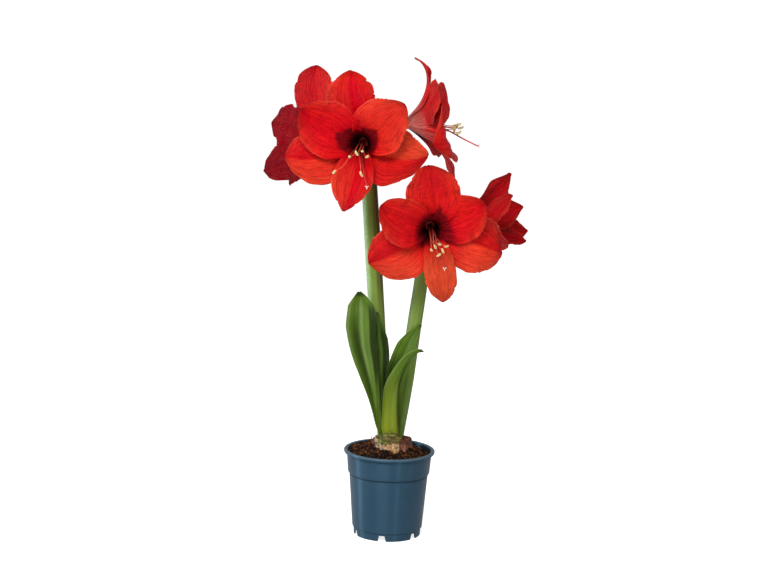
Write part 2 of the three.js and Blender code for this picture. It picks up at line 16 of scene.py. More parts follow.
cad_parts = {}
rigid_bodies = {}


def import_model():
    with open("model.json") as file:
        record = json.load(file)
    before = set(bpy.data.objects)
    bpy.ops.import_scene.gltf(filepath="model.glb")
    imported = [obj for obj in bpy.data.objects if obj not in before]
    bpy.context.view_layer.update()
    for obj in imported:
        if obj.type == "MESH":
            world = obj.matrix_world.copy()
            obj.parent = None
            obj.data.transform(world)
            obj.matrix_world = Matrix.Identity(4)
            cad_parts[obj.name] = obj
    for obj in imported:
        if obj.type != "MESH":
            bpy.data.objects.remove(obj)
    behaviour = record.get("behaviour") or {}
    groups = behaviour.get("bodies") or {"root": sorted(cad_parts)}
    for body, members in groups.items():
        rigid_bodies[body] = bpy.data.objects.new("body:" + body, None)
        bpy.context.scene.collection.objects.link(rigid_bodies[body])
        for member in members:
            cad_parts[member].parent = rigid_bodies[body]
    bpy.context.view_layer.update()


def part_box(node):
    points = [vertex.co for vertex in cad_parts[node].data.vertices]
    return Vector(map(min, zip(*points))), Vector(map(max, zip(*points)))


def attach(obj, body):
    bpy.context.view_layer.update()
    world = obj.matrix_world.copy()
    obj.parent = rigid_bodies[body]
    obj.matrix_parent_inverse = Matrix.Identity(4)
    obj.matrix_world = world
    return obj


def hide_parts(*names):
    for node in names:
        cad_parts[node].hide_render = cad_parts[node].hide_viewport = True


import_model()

MM = 0.001
GAP = 0.3  # millimetres between pieces that meet
SMALL_STEP = 1e-3  # how far apart two points of a surface lie when its slope is measured


def pot_axis():
    """Where the pot's axis stands in the frame, in millimetres."""
    low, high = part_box("pot")
    return np.array([(low.x + high.x) / 2, (low.y + high.y) / 2, 0.0]) / MM


PLACE = pot_axis()


def placed(points):
    """Points drawn round the pot's axis in millimetres, as points of the frame in metres."""
    return (np.asarray(points, float) + PLACE) * MM


# ---- curves and small maths -----------------------------------------------------------------


def smooth(x):
    """A soft step from 0 at x = 0 to 1 at x = 1."""
    x = np.clip(x, 0.0, 1.0)
    return x * x * (3 - 2 * x)


def bell(x, middle, reach):
    """1 at the middle, falling softly to 0 on both sides."""
    return np.exp(-(((x - middle) / reach) ** 2))


def hump(x, start, full, last, finish):
    """0 before start, 1 from full to last, and 0 after finish."""
    return smooth((x - start) / (full - start)) * (1 - smooth((x - last) / (finish - last)))


def unit(vectors):
    """The vectors at length 1."""
    return vectors / np.maximum(np.linalg.norm(vectors, axis=-1, keepdims=True), 1e-12)


def through(places, weighed=False):
    """A smooth curve through the places: a function from 0..1 to points.

    The slope at each place comes from the places before and after it. weighed: it also takes
    account of how far off they are, which suits filaments and flower stalks, where places lie
    unevenly.
    """
    p = np.array(places, float)
    if p.ndim == 1:
        p = p[:, None]
    ends = np.vstack([2 * p[0] - p[1], p, 2 * p[-1] - p[-2]])
    count = len(p)

    def at(t):
        x = np.clip(np.asarray(t, float), 0, 1) * (count - 1)
        i = np.minimum(x.astype(int), count - 2)
        w = (x - i)[..., None]
        a, b, c, d = ends[i], ends[i + 1], ends[i + 2], ends[i + 3]
        if not weighed:
            start, finish = (c - a) / 2, (d - b) / 2
        else:
            ab, bc, cd = (np.sqrt(np.linalg.norm(q - r, axis=-1))[..., None]
                          for q, r in ((b, a), (c, b), (d, c)))
            start = ((b - a) / ab - (c - a) / (ab + bc) + (c - b) / bc) * bc
            finish = ((c - b) / bc - (d - b) / (bc + cd) + (d - c) / cd) * bc
        rise = 2 * b - 2 * c + start + finish
        bend = -3 * b + 3 * c - 2 * start - finish
        return ((rise * w + bend) * w + start) * w + b

    return at


def all_round(count):
    """Angles spread evenly round a circle."""
    return np.linspace(0, 2 * math.pi, count, endpoint=False)


def evenly(curve, pieces=400):
    """The same curve, walked at an even pace along its length."""
    t = np.linspace(0, 1, pieces + 1)
    steps = np.linalg.norm(np.diff(curve(t), axis=0), axis=1)
    walked = np.concatenate([[0], np.cumsum(steps)])
    return lambda v: curve(np.interp(v, walked / walked[-1], t))


def length_of(curve):
    """The curve's length in millimetres."""
    return np.linalg.norm(np.diff(curve(np.linspace(0, 1, 200)), axis=0), axis=1).sum()


# ---- meshes ---------------------------------------------------------------------------------


def new_object(name, data):
    """An object of the scene that shows a mesh, a lamp or a camera."""
    made = bpy.data.objects.new(name, data)
    bpy.context.scene.collection.objects.link(made)
    return made


def set_mark(mesh, name, values):
    """Gives a mesh one number at each point, for its material to read."""
    mark = mesh.attributes.new(name, "FLOAT", "POINT")
    mark.data.foreach_set("value", values.astype(np.float32))


class Shape:
    """Points, faces and numbers at each point, gathered until they become one object."""

    def __init__(self):
        self.points, self.quads, self.tris, self.marks, self.paints = [], [], [], [], []
        self.count = 0

    def add(self, points, quads=(), tris=(), paint=0, **marks):
        """Adds a closed lump. paint: the number of its material. marks: numbers for its material
        to read, one for the whole lump or one for each point.
        """
        points = np.asarray(points, float).reshape(-1, 3)
        quads = np.asarray(quads, int).reshape(-1, 4)
        tris = np.asarray(tris, int).reshape(-1, 3)
        self.points.append(points)
        self.quads.append(quads + self.count)
        self.tris.append(tris + self.count)
        self.paints.append((np.full(len(quads), paint), np.full(len(tris), paint)))
        self.marks.append({key: np.broadcast_to(np.asarray(value, float).ravel(), len(points))
                           for key, value in marks.items()})
        self.count += len(points)

    def piece(self, name, materials, slot, replaces=()):
        """Makes the object, and sets it in the frame."""
        points = placed(np.vstack(self.points))
        quads, tris = np.vstack(self.quads), np.vstack(self.tris)
        mesh = bpy.data.meshes.new(name)
        mesh.vertices.add(len(points))
        mesh.vertices.foreach_set("co", points.astype(np.float32).ravel())
        mesh.loops.add(quads.size + tris.size)
        mesh.loops.foreach_set("vertex_index",
                               np.concatenate([quads.ravel(), tris.ravel()]).astype(np.int32))
        starts = np.concatenate([np.arange(len(quads)) * 4,
                                 quads.size + np.arange(len(tris)) * 3])
        mesh.polygons.add(len(starts))
        mesh.polygons.foreach_set("loop_start", starts.astype(np.int32))
        paints = np.concatenate([p for p, _ in self.paints] + [p for _, p in self.paints])
        mesh.polygons.foreach_set("material_index", paints.astype(np.int32))
        mesh.update(calc_edges=True)
        mesh.validate()
        for key in sorted({k for m in self.marks for k in m}):
            set_mark(mesh, key, np.concatenate([m.get(key, np.zeros(len(p)))
                                                for m, p in zip(self.marks, self.points)]))
        mesh.shade_smooth()
        piece = new_object(name, mesh)
        for finish in materials:
            mesh.materials.append(finish)
        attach(piece, "root")
        if replaces:
            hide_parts(*replaces)
        return piece


def rings(rows, sides):
    """Faces between rows of points, each row a closed ring, shut by a point at each end.

    The two end points are numbered after all the rings.
    """
    i = np.arange(sides)
    j = np.arange(rows - 1)[:, None] * sides
    here, there = j + i, j + (i + 1) % sides
    quads = np.stack([here, there, there + sides, here + sides], -1).reshape(-1, 4)
    first, last, top = rows * sides, rows * sides + 1, (rows - 1) * sides
    caps = [np.stack([np.full(sides, first), (i + 1) % sides, i], -1),
            np.stack([np.full(sides, last), top + i, top + (i + 1) % sides], -1)]
    return quads, np.vstack(caps)


def on_rings(values, sides, ends=(0, 1)):
    """A number for each ring, given to all its points, and the numbers of the two end points."""
    return np.concatenate([np.repeat(values, sides), ends])


SLANT = (0.3, 1.0, 0.2)


def tube(shape, line, radii, sides, paint=0, squeeze=None, **marks):
    """A closed round limb along the points of line. squeeze gives radii that change around.

    Each ring starts on the side that is square to the line and to SLANT, which no limb runs along.
    """
    line = np.asarray(line, float)
    rows = len(line)
    tangent = unit(np.gradient(line, axis=0))
    side = np.empty_like(tangent)
    across = np.cross(tangent[0], SLANT)
    for k in range(rows):
        across = across - tangent[k] * (across @ tangent[k])
        across = across / np.linalg.norm(across)
        side[k] = across
    other = np.cross(tangent, side)
    turn = all_round(sides)
    reach = np.broadcast_to(np.asarray(radii, float), rows)[:, None] * np.ones(sides)
    if squeeze is not None:
        reach = reach * squeeze(np.linspace(0, 1, rows)[:, None], turn[None, :])
    ring = (line[:, None, :] + side[:, None, :] * (np.cos(turn) * reach)[..., None]
            + other[:, None, :] * (np.sin(turn) * reach)[..., None])
    points = np.vstack([ring.reshape(-1, 3), line[:1], line[-1:]])
    quads, tris = rings(rows, sides)
    marks.setdefault("along", on_rings(np.linspace(0, 1, rows), sides))
    marks.setdefault("around", np.concatenate([np.tile(turn / (2 * math.pi), rows), [0, 0]]))
    shape.add(points, quads, tris, paint, **marks)


def turned_form(shape, profile, sides, move=None, **marks):
    """A closed form turned from a profile of (radius, height). move puts its points in place."""
    profile = np.asarray(profile, float)
    turn = all_round(sides)
    ring = np.stack([profile[:, :1] * np.cos(turn), profile[:, :1] * np.sin(turn),
                     profile[:, 1:] * np.ones(sides)], -1)
    ends = np.array([[0, 0, profile[0, 1]], [0, 0, profile[-1, 1]]])
    rows = len(profile)
    points = np.vstack([ring.reshape(-1, 3), ends])
    if move is not None:
        points = move(points)
    quads, tris = rings(rows, sides)
    marks.setdefault("along", on_rings(np.linspace(0, 1, rows), sides))
    shape.add(points, quads, tris, **marks)


def sheet_points(surface, across, along, thickness):
    """Both faces of a surface, outer face first, and the numbers that its materials read."""
    u, v = np.meshgrid(np.linspace(-1, 1, across + 1), np.linspace(0, 1, along + 1))
    du = surface(u + SMALL_STEP, v) - surface(u - SMALL_STEP, v)
    dv = surface(u, np.minimum(v + SMALL_STEP, 1)) - surface(u, np.maximum(v - SMALL_STEP, 0))
    normal = unit(np.cross(du, dv))
    half = np.broadcast_to(thickness(u, v) / 2, u.shape)[..., None]
    middle = surface(u, v)
    points = np.concatenate([middle + normal * half, middle - normal * half]).reshape(-1, 3)
    marks = {"across": np.tile(u.ravel(), 2), "along": np.tile(v.ravel(), 2),
             "outside": np.repeat([1.0, 0.0], u.size)}
    return points, marks


def sheet_faces(across, along):
    """Faces of the two sides of a sheet and of its rim."""
    row = across + 1
    back = row * (along + 1)
    i, j = np.meshgrid(np.arange(across), np.arange(along))
    a = (j * row + i).ravel()
    front = np.stack([a, a + 1, a + 1 + row, a + row], -1)
    i, j = np.arange(across), np.arange(along)
    edges = np.vstack([
        np.stack([i, i + 1], -1),
        np.stack([along * row + i + 1, along * row + i], -1),
        np.stack([(j + 1) * row, j * row], -1),
        np.stack([j * row + across, (j + 1) * row + across], -1),
    ])
    rim = np.stack([edges[:, 0], edges[:, 0] + back, edges[:, 1] + back, edges[:, 1]], -1)
    return np.vstack([front, front[:, ::-1] + back, rim])


def add_sheet(shape, surface, across, along, thickness, **marks):
    """A thin closed sheet that follows the surface. across and along: how many faces it has."""
    points, own = sheet_points(surface, across, along, thickness)
    shape.add(points, sheet_faces(across, along), **own, **marks)


# ---- node trees -----------------------------------------------------------------------------


def opaque(colour):
    """A colour of three numbers with its alpha of 1. A socket stays as it is."""
    return colour if isinstance(colour, bpy.types.NodeSocket) else (*colour, 1)


class Tree:
    """A node tree being filled in."""

    def __init__(self, tree):
        self.tree = tree

    def node(self, kind, inputs=None, **settings):
        """Adds a node. inputs: sockets by name or number, each a value or a socket to join."""
        made = self.tree.nodes.new(kind)
        for key, value in settings.items():
            setattr(made, key, value)
        for key, value in (inputs or {}).items():
            socket = made.inputs[key]
            if isinstance(value, bpy.types.NodeSocket):
                self.join(value, socket)
            else:
                socket.default_value = value
        return made

    def join(self, socket, target):
        """Links one node's output to another node's input."""
        self.tree.links.new(socket, target)

    def maths(self, operation, a, b=0.0, clamp=False):
        """One sum on two numbers. clamp keeps the answer between 0 and 1."""
        made = self.node("ShaderNodeMath", {0: a, 1: b}, operation=operation, use_clamp=clamp)
        return made.outputs[0]

    def plus(self, a, b):
        """a + b."""
        return self.maths("ADD", a, b)

    def times(self, a, b, clamp=False):
        """a times b."""
        return self.maths("MULTIPLY", a, b, clamp)

    def scaled_place(self, x, y, z):
        """Where a point is on the object, stretched or squeezed along the three axes."""
        made = self.node("ShaderNodeVectorMath", {0: self.place(), 1: (x, y, z)},
                         operation="MULTIPLY")
        return made.outputs[0]

    def remap(self, value, low, high, to_low=0.0, to_high=1.0):
        """A soft step: to_low where the value is low, and to_high where it is high."""
        made = self.node("ShaderNodeMapRange",
                         {0: value, 1: low, 2: high, 3: to_low, 4: to_high},
                         interpolation_type="SMOOTHSTEP")
        return made.outputs[0]

    def mix(self, factor, a, b):
        """Colour a where the factor is 0, and colour b where it is 1."""
        made = self.node("ShaderNodeMix", {0: factor, 6: opaque(a), 7: opaque(b)},
                         data_type="RGBA")
        return made.outputs[2]

    def over(self, colour, *layers):
        """A colour with others laid over it in turn. Each layer: how much of it, and its colour."""
        for amount, other in layers:
            colour = self.mix(amount, colour, other)
        return colour

    def mark(self, name):
        """A number that the mesh carries at its points."""
        return self.node("ShaderNodeAttribute", attribute_name=name).outputs["Fac"]

    def place(self):
        """Where a point of the surface is on the object."""
        return self.node("ShaderNodeTexCoord").outputs["Object"]

    def noise(self, vector, scale, detail=3.0, roughness=0.5, distortion=0.0):
        """Cloudy noise, mostly from 0.3 to 0.7."""
        made = self.node("ShaderNodeTexNoise",
                         {"Vector": vector, "Scale": scale, "Detail": detail,
                          "Roughness": roughness, "Distortion": distortion})
        return made.outputs["Fac"]

    def group(self, effect, inputs):
        """A shared effect with its own values."""
        return self.node("ShaderNodeGroup", inputs, node_tree=effect).outputs

    def bump(self, height, strength, distance):
        """Normals that make a height from 0 to 1 stand up by a distance in metres."""
        made = self.node("ShaderNodeBump", {"Height": height, "Strength": strength,
                                            "Distance": distance})
        return made.outputs["Normal"]


def shared_effect(name, inputs, outputs):
    """An empty node group with named sockets: its tree, its inputs and its output node."""
    group = bpy.data.node_groups.new(name, "ShaderNodeTree")
    for label, value in inputs.items():
        kind = "NodeSocketVector" if value is None else "NodeSocketFloat"
        socket = group.interface.new_socket(label, in_out="INPUT", socket_type=kind)
        if value is not None:
            socket.default_value = value
    for label in outputs:
        group.interface.new_socket(label, in_out="OUTPUT", socket_type="NodeSocketFloat")
    tree = Tree(group)
    entry = tree.node("NodeGroupInput")
    leaving = tree.node("NodeGroupOutput")
    return tree, entry.outputs, leaving.inputs


def vein_effect():
    """Streaks that run the length of a blade, closer together towards its two ends."""
    tree, given, out = shared_effect(
        "lengthwise veins",
        {"Across": 0.0, "Along": 0.0, "Seed": 0.0, "Count": 12.0, "Stretch": 1.2},
        ["Broad", "Fine"])
    shift = tree.times(given["Seed"], 37.0)

    def streak(count_share, stretch_share, detail):
        """Noise drawn out lengthwise, at a share of the effect's count and stretch."""
        x = tree.times(given["Across"], tree.times(given["Count"], count_share))
        y = tree.times(given["Along"], tree.times(given["Stretch"], stretch_share))
        vector = tree.node("ShaderNodeCombineXYZ", {0: x, 1: y, 2: shift}).outputs[0]
        return tree.noise(vector, 1.0, detail, 0.6)

    tree.join(tree.remap(streak(0.4, 1.0, 2.0), 0.3, 0.7), out["Broad"])
    tree.join(tree.remap(streak(1.6, 1.5, 3.0), 0.32, 0.68), out["Fine"])
    return tree.tree


def mottle_effect():
    """Soft uneven patches, large and small, as on anything grown or handled."""
    tree, given, out = shared_effect("mottle", {"Vector": None, "Scale": 60.0},
                                     ["Patches", "Specks"])
    patches = tree.noise(given["Vector"], given["Scale"], 3.0, 0.55)
    specks = tree.noise(given["Vector"], tree.times(given["Scale"], 7.0), 2.0, 0.6)
    tree.join(tree.remap(patches, 0.32, 0.68), out["Patches"])
    tree.join(tree.remap(specks, 0.36, 0.7), out["Specks"])
    return tree.tree


VEINS = vein_effect()
MOTTLE = mottle_effect()


def material(name, **sockets):
    """A material with one surface shader, and its tree. sockets are constant shader values."""
    made = bpy.data.materials.new(name)
    made.use_nodes = True
    tree = Tree(made.node_tree)
    made.node_tree.nodes.clear()
    surface = tree.node("ShaderNodeBsdfPrincipled")
    for key, value in sockets.items():
        surface.inputs[key.replace("_", " ")].default_value = value
    out = tree.node("ShaderNodeOutputMaterial", {"Surface": surface.outputs[0]})
    return made, tree, surface.inputs, out


# Colours are linear red, green and blue.

PETAL_COLOURS = {
    "deep scarlet": (0.80, 0.0014, 0.010), "scarlet": (0.99, 0.012, 0.010),
    "crimson patch": (0.84, 0.001, 0.020), "orange": (1.0, 0.12, 0.042),
    "vein": (0.50, 0.0, 0.006), "painted shade crimson": (0.25, 0.0012, 0.007),
    "maroon": (0.17, 0.0024, 0.007), "red maroon": (0.30, 0.0050, 0.012),
    "throat": (0.010, 0.0008, 0.0014),
    "pale foot": (0.95, 0.24, 0.19), "foot streak": (0.84, 0.028, 0.030),
    "white thread": (0.96, 0.72, 0.64), "keel": (0.45, 0.012, 0.016),
    "back": (0.96, 0.011, 0.015), "back vein": (0.62, 0.001, 0.009),
    "back margin": (0.95, 0.07, 0.035), "back painted shade": (0.38, 0.002, 0.010),
    "rim": (1.0, 0.16, 0.09), "tip": (0.16, 0.004, 0.003),
}


def petal_streaks(tree):
    """What a petal's colours follow: its length, margins, veins, hairlines and patches."""
    across, along = tree.mark("across"), tree.mark("along")
    lengthwise = {"Across": across, "Along": along, "Seed": tree.mark("seed")}
    veins = tree.group(VEINS, {**lengthwise, "Count": 36.0, "Stretch": 2.2})
    edge = tree.maths("ABSOLUTE", across)
    return SimpleNamespace(
        along=along, edge=edge, veins=veins,
        hairlines=tree.group(VEINS, {**lengthwise, "Count": 90.0, "Stretch": 4.0}),
        mottle=tree.group(MOTTLE, {"Vector": tree.place(), "Scale": 24.0}),
        line=tree.times(tree.remap(veins["Fine"], 0.55, 0.95), 0.6),
        margin=tree.times(tree.maths("POWER", edge, 2.4), tree.remap(along, 0.35, 0.85),
                          clamp=True))


def petal_face(tree, streaks):
    """The inner face: scarlet, orange at the margins partly as painted sheen, crimson where depth
    paints shade, with a maroon star round a black throat, partly painted shade.
    """
    c, veins, mottle = PETAL_COLOURS, streaks.veins, streaks.mottle
    depth, throat, soft = tree.mark("depth"), tree.mark("throat"), tree.mark("soft")
    # orange at the margins and on warm tepals: partly the petal's own orange, partly painted sheen;
    # lean adds painted light to one half
    warm = tree.plus(tree.times(streaks.margin, 0.42),
                     tree.times(tree.mark("warmth"), tree.remap(streaks.along, 0.25, 0.6)))
    warm = tree.times(warm, tree.remap(streaks.hairlines["Fine"], 0.1, 0.9, 0.4, 1.1), clamp=True)
    warm = tree.times(warm, tree.remap(depth, 0.0, 1.0, 1.0, 0.1))
    ragged = tree.plus(streaks.along, tree.remap(veins["Fine"], 0.0, 1.0, -0.016, 0.016))
    ragged = tree.plus(ragged, tree.remap(mottle["Patches"], 0.0, 1.0, -0.02, 0.02))
    star = tree.remap(ragged, tree.maths("SUBTRACT", throat, soft), tree.plus(throat, soft),
                      0.96, 0.0)
    return tree.over(
        tree.mix(veins["Broad"], c["deep scarlet"], c["scarlet"]),
        (tree.times(mottle["Patches"], 0.6), c["crimson patch"]),
        (warm, c["orange"]),
        (streaks.line, c["vein"]),
        # painted shade: darker crimson on tepals that lie in shade
        (tree.times(depth, 0.95), c["painted shade crimson"]),
        # the maroon star and the black throat below: partly the throat's own colour, partly painted
        # shade deep in the funnel
        (star, tree.mix(veins["Broad"], c["maroon"], c["red maroon"])),
        (tree.remap(ragged, 0.18, 0.37, 1.0, 0.0), c["throat"]))


def petal_back(tree, streaks):
    """The outer face: crimson, with a pale streaked foot, a dark keel, and painted shade in crimson
    where depth is set.
    """
    c, veins = PETAL_COLOURS, streaks.veins
    pale = tree.over(
        c["pale foot"],
        (tree.remap(veins["Fine"], 0.35, 0.9, 0.0, 0.85), c["foot streak"]),
        (tree.remap(streaks.hairlines["Fine"], 0.6, 0.9, 0.0, 0.6), c["white thread"]),
        (tree.times(tree.remap(streaks.edge, 0.02, 0.08, 1.0, 0.0), 0.5), c["keel"]))
    reach = tree.plus(streaks.along, tree.remap(veins["Broad"], 0.0, 1.0, 0.0, 0.2))
    reach = tree.plus(reach, tree.times(streaks.edge, 0.1))
    fade = tree.times(tree.remap(reach, 0.24, 0.58, 1.0, 0.0), tree.mark("blush"))
    return tree.over(
        c["back"],
        (streaks.line, c["back vein"]),
        (tree.times(streaks.margin, 0.5), c["back margin"]),
        # painted shade: darker crimson on the backs of tepals that lie in shade
        (tree.times(tree.mark("depth"), 0.8), c["back painted shade"]),
        (fade, pale))


def petal_finish():
    """Soft crinkled petals that let a little light through."""
    made, tree, shader, out = material("petal red", Specular_IOR_Level=0.25,
                                       Specular_Tint=(1.0, 0.16, 0.12, 1))
    c, streaks = PETAL_COLOURS, petal_streaks(tree)
    rim = tree.times(tree.remap(streaks.edge, 0.95, 1.0, 0.0, 0.4),
                     tree.remap(streaks.along, 0.45, 0.7))
    colour = tree.over(
        petal_face(tree, streaks),
        (tree.mark("outside"), petal_back(tree, streaks)),
        (rim, c["rim"]),
        (tree.remap(streaks.along, 0.975, 1.0, 0.0, 0.45), c["tip"]))
    tree.join(colour, shader["Base Color"])
    tree.join(tree.remap(streaks.veins["Fine"], 0.0, 1.0, 0.36, 0.5), shader["Roughness"])
    height = tree.plus(tree.times(streaks.veins["Broad"], 0.6),
                       tree.times(streaks.hairlines["Broad"], 0.55))
    crinkles = tree.noise(tree.place(), 95.0, 4.0, 0.6, 0.6)
    normal = tree.bump(tree.plus(height, tree.times(crinkles, 2.6)), 1.0, 0.0015)
    tree.join(normal, shader["Normal"])

    # A little light comes through from behind.
    glow = tree.node("ShaderNodeBsdfTranslucent", {"Color": colour, "Normal": normal})
    surface = out.inputs["Surface"].links[0].from_socket
    both = tree.node("ShaderNodeMixShader", {0: 0.08, 1: surface, 2: glow.outputs[0]})
    tree.join(both.outputs[0], out.inputs["Surface"])
    return made


LEAF_COLOURS = {
    "deep green": (0.046, 0.098, 0.005), "green": (0.110, 0.190, 0.015),
    "dark patch": (0.035, 0.075, 0.004), "deep young": (0.205, 0.235, 0.003),
    "young": (0.35, 0.37, 0.007), "foot": (0.45, 0.43, 0.05), "keel": (0.19, 0.29, 0.04),
    "back": (0.13, 0.20, 0.025), "shine": (0.24, 0.35, 0.11), "shade": (0.012, 0.024, 0.003),
    "rim": (0.24, 0.32, 0.07), "tip": (0.020, 0.045, 0.004),
}


def blade_finish():
    """Strap leaf: waxy, with close parallel veins, a paler keel and a yellow-green foot."""
    made, tree, shader, _ = material("strap leaf", Specular_IOR_Level=0.3,
                                     Specular_Tint=(0.75, 1.0, 0.45, 1))
    c, across, along = LEAF_COLOURS, tree.mark("across"), tree.mark("along")
    young, shade, edge = tree.mark("young"), tree.mark("shade"), tree.maths("ABSOLUTE", across)
    veins = tree.group(VEINS, {"Across": across, "Along": along, "Seed": tree.mark("seed"),
                               "Count": 34.0, "Stretch": 1.3})
    mottle = tree.group(MOTTLE, {"Vector": tree.place(), "Scale": 30.0})
    up = tree.plus(along, tree.times(veins["Broad"], 0.15))
    fresh = tree.times(tree.remap(up, 0.1, 0.85, 1.0, 0.0), young, clamp=True)
    rim = tree.times(tree.remap(edge, 0.95, 0.985, 0.0, 0.45),
                     tree.maths("SUBTRACT", 1.0, shade))
    green = tree.over(
        tree.mix(veins["Broad"], c["deep green"], c["green"]),
        (tree.times(mottle["Patches"], 0.35), c["dark patch"]),
        (fresh, tree.mix(veins["Broad"], c["deep young"], c["young"])),
        (tree.times(tree.remap(along, 0.0, 0.16, 1.0, 0.0), young), c["foot"]),
        (tree.times(tree.remap(edge, 0.0, 0.12, 1.0, 0.0), 0.35), c["keel"]),
        (tree.times(tree.mark("outside"), 0.25), c["back"]),
        (tree.times(tree.mark("shine"), 0.8), c["shine"]),
        (shade, c["shade"]),
        (rim, c["rim"]),
        (tree.remap(along, 0.95, 1.0, 0.0, 0.6), c["tip"]))
    tree.join(green, shader["Base Color"])
    tree.join(tree.remap(veins["Fine"], 0.0, 1.0, 0.32, 0.46), shader["Roughness"])
    height = tree.plus(tree.times(veins["Fine"], 0.6), tree.times(mottle["Patches"], 0.4))
    tree.join(tree.bump(height, 0.5, 0.0008), shader["Normal"])
    return made


STEM_COLOURS = {
    "foot": (0.100, 0.165, 0.010), "top": (0.180, 0.265, 0.036), "vein": (0.115, 0.185, 0.022),
    "pale patch": (0.24, 0.33, 0.10), "bloom": (0.44, 0.60, 0.32), "flush": (0.060, 0.030, 0.004),
}


def stem_finish():
    """Flower stem: green with red-brown down its right side, partly painted shade, and grey bloom
    on its left side, partly painted highlight.
    """
    made, tree, shader, _ = material("flower stem", Specular_IOR_Level=0.25)
    c, along = STEM_COLOURS, tree.mark("along")
    veins = tree.group(VEINS, {"Across": tree.mark("around"), "Along": along, "Seed": 0.3,
                               "Count": 60.0, "Stretch": 3.0})
    mottle = tree.group(MOTTLE, {"Vector": tree.place(), "Scale": 45.0})
    # partly painted light: the grey bloom on the left side, where the light falls, and the darker
    # brown on the right side
    bloom = tree.times(tree.mark("pale"), tree.remap(mottle["Specks"], 0.0, 1.0, 0.55, 1.0))
    brown = tree.times(tree.mark("flush"), tree.remap(veins["Broad"], 0.0, 1.0, 0.55, 1.0))
    green = tree.over(
        tree.mix(tree.remap(along, 0.0, 0.6), c["foot"], c["top"]),
        (tree.times(veins["Broad"], 0.4), c["vein"]),
        (tree.times(mottle["Patches"], 0.15), c["pale patch"]),
        (bloom, c["bloom"]),
        (brown, c["flush"]))
    tree.join(green, shader["Base Color"])
    tree.join(tree.remap(mottle["Specks"], 0.0, 1.0, 0.44, 0.58), shader["Roughness"])
    height = tree.plus(veins["Fine"], mottle["Specks"])
    tree.join(tree.bump(height, 0.25, 0.0005), shader["Normal"])
    return made


def thread_finish(name, foot, end):
    """Filament, style or stigma: one colour at its foot and another at its end."""
    made, tree, shader, _ = material(name, Roughness=0.5, Specular_IOR_Level=0.25)
    mottle = tree.group(MOTTLE, {"Vector": tree.place(), "Scale": 300.0})
    darker_foot = tuple(0.6 * part for part in foot)
    colour = tree.over(foot, (tree.remap(tree.mark("along"), 0.25, 0.95), end),
                       (tree.times(mottle["Patches"], 0.3), darker_foot))
    tree.join(colour, shader["Base Color"])
    tree.join(tree.bump(mottle["Specks"], 0.2, 0.0002), shader["Normal"])
    return made


POLLEN_COLOURS = {
    "straw": (0.92, 0.64, 0.20), "cream": (1.0, 0.90, 0.50), "grain": (0.52, 0.26, 0.05),
}


def pollen_finish():
    """Cream anther, dusty with pollen."""
    made, tree, shader, _ = material("anther", Roughness=0.85)
    c, mottle = POLLEN_COLOURS, tree.group(MOTTLE, {"Vector": tree.place(), "Scale": 260.0})
    colour = tree.over(c["straw"], (mottle["Patches"], c["cream"]),
                       (tree.times(mottle["Specks"], 0.3), c["grain"]))
    tree.join(colour, shader["Base Color"])
    tree.join(tree.bump(mottle["Specks"], 0.8, 0.0006), shader["Normal"])
    return made


SKIN_COLOURS = {
    "tan": (0.62, 0.30, 0.10), "light tan": (1.0, 0.70, 0.38),
    "dark scale": (0.13, 0.030, 0.014), "red-brown scale": (0.36, 0.11, 0.055),
    "dark olive": (0.050, 0.048, 0.008), "olive": (0.31, 0.37, 0.060),
    "rust blotch": (0.52, 0.17, 0.065), "cream blotch": (1.0, 0.82, 0.55),
    "paper": (0.74, 0.46, 0.30), "white paper": (0.97, 0.78, 0.66),
    "crack": (0.06, 0.022, 0.008), "speck": (0.03, 0.012, 0.005),
    "torn edge": (0.045, 0.024, 0.008), "bottom": (0.30, 0.20, 0.11),
}


def skin_finish():
    """Bulb skin: tan papery scales, red-brown old ones, and green-brown rims near the leaves."""
    made, tree, shader, _ = material("bulb skin", Specular_IOR_Level=0.3)
    c, tone = SKIN_COLOURS, tree.mark("tone")
    fibres = tree.noise(tree.scaled_place(1.0, 1.0, 0.3), 520.0, 4.0, 0.65)
    layers = tree.remap(tree.noise(tree.scaled_place(0.5, 0.5, 3.0), 170.0, 3.0, 0.55), 0.38, 0.53)
    blotches = tree.noise(tree.place(), 330.0, 3.0, 0.6)
    mottle = tree.group(MOTTLE, {"Vector": tree.place(), "Scale": 130.0})
    patches, specks = mottle["Patches"], mottle["Specks"]
    colour = tree.over(
        tree.mix(patches, c["tan"], c["light tan"]),
        (tree.remap(blotches, 0.50, 0.62, 0.0, 0.6), c["rust blotch"]),
        (tree.remap(blotches, 0.32, 0.45, 0.6, 0.0), c["cream blotch"]),
        (tree.remap(tone, 0.0, 0.5), tree.mix(patches, c["dark scale"], c["red-brown scale"])),
        (tree.remap(tone, 0.5, 1.0), tree.mix(layers, c["dark olive"], c["olive"])),
        (tree.mark("pale"), tree.mix(specks, c["paper"], c["white paper"])),
        (tree.remap(fibres, 0.52, 0.72, 0.0, 0.6), c["crack"]),
        (tree.remap(specks, 0.78, 1.0, 0.0, 0.65), c["speck"]),
        (tree.mark("edge"), c["torn edge"]),
        (tree.times(tree.mark("bottom"), 0.8), c["bottom"]))
    tree.join(colour, shader["Base Color"])
    tree.join(tree.remap(specks, 0.0, 1.0, 0.5, 0.75), shader["Roughness"])
    height = tree.plus(tree.times(fibres, 0.7), tree.times(specks, 0.5))
    tree.join(tree.bump(height, 1.0, 0.0020), shader["Normal"])
    return made


SOIL_COLOURS = {
    "peat": (0.010, 0.005, 0.003), "coir": (0.17, 0.047, 0.018), "rust": (0.45, 0.11, 0.028),
    "bright rust": (0.98, 0.42, 0.11), "black crumb": (0.005, 0.0025, 0.002),
    # hollow: painted shade
    "hollow": (0.006, 0.003, 0.002),
}


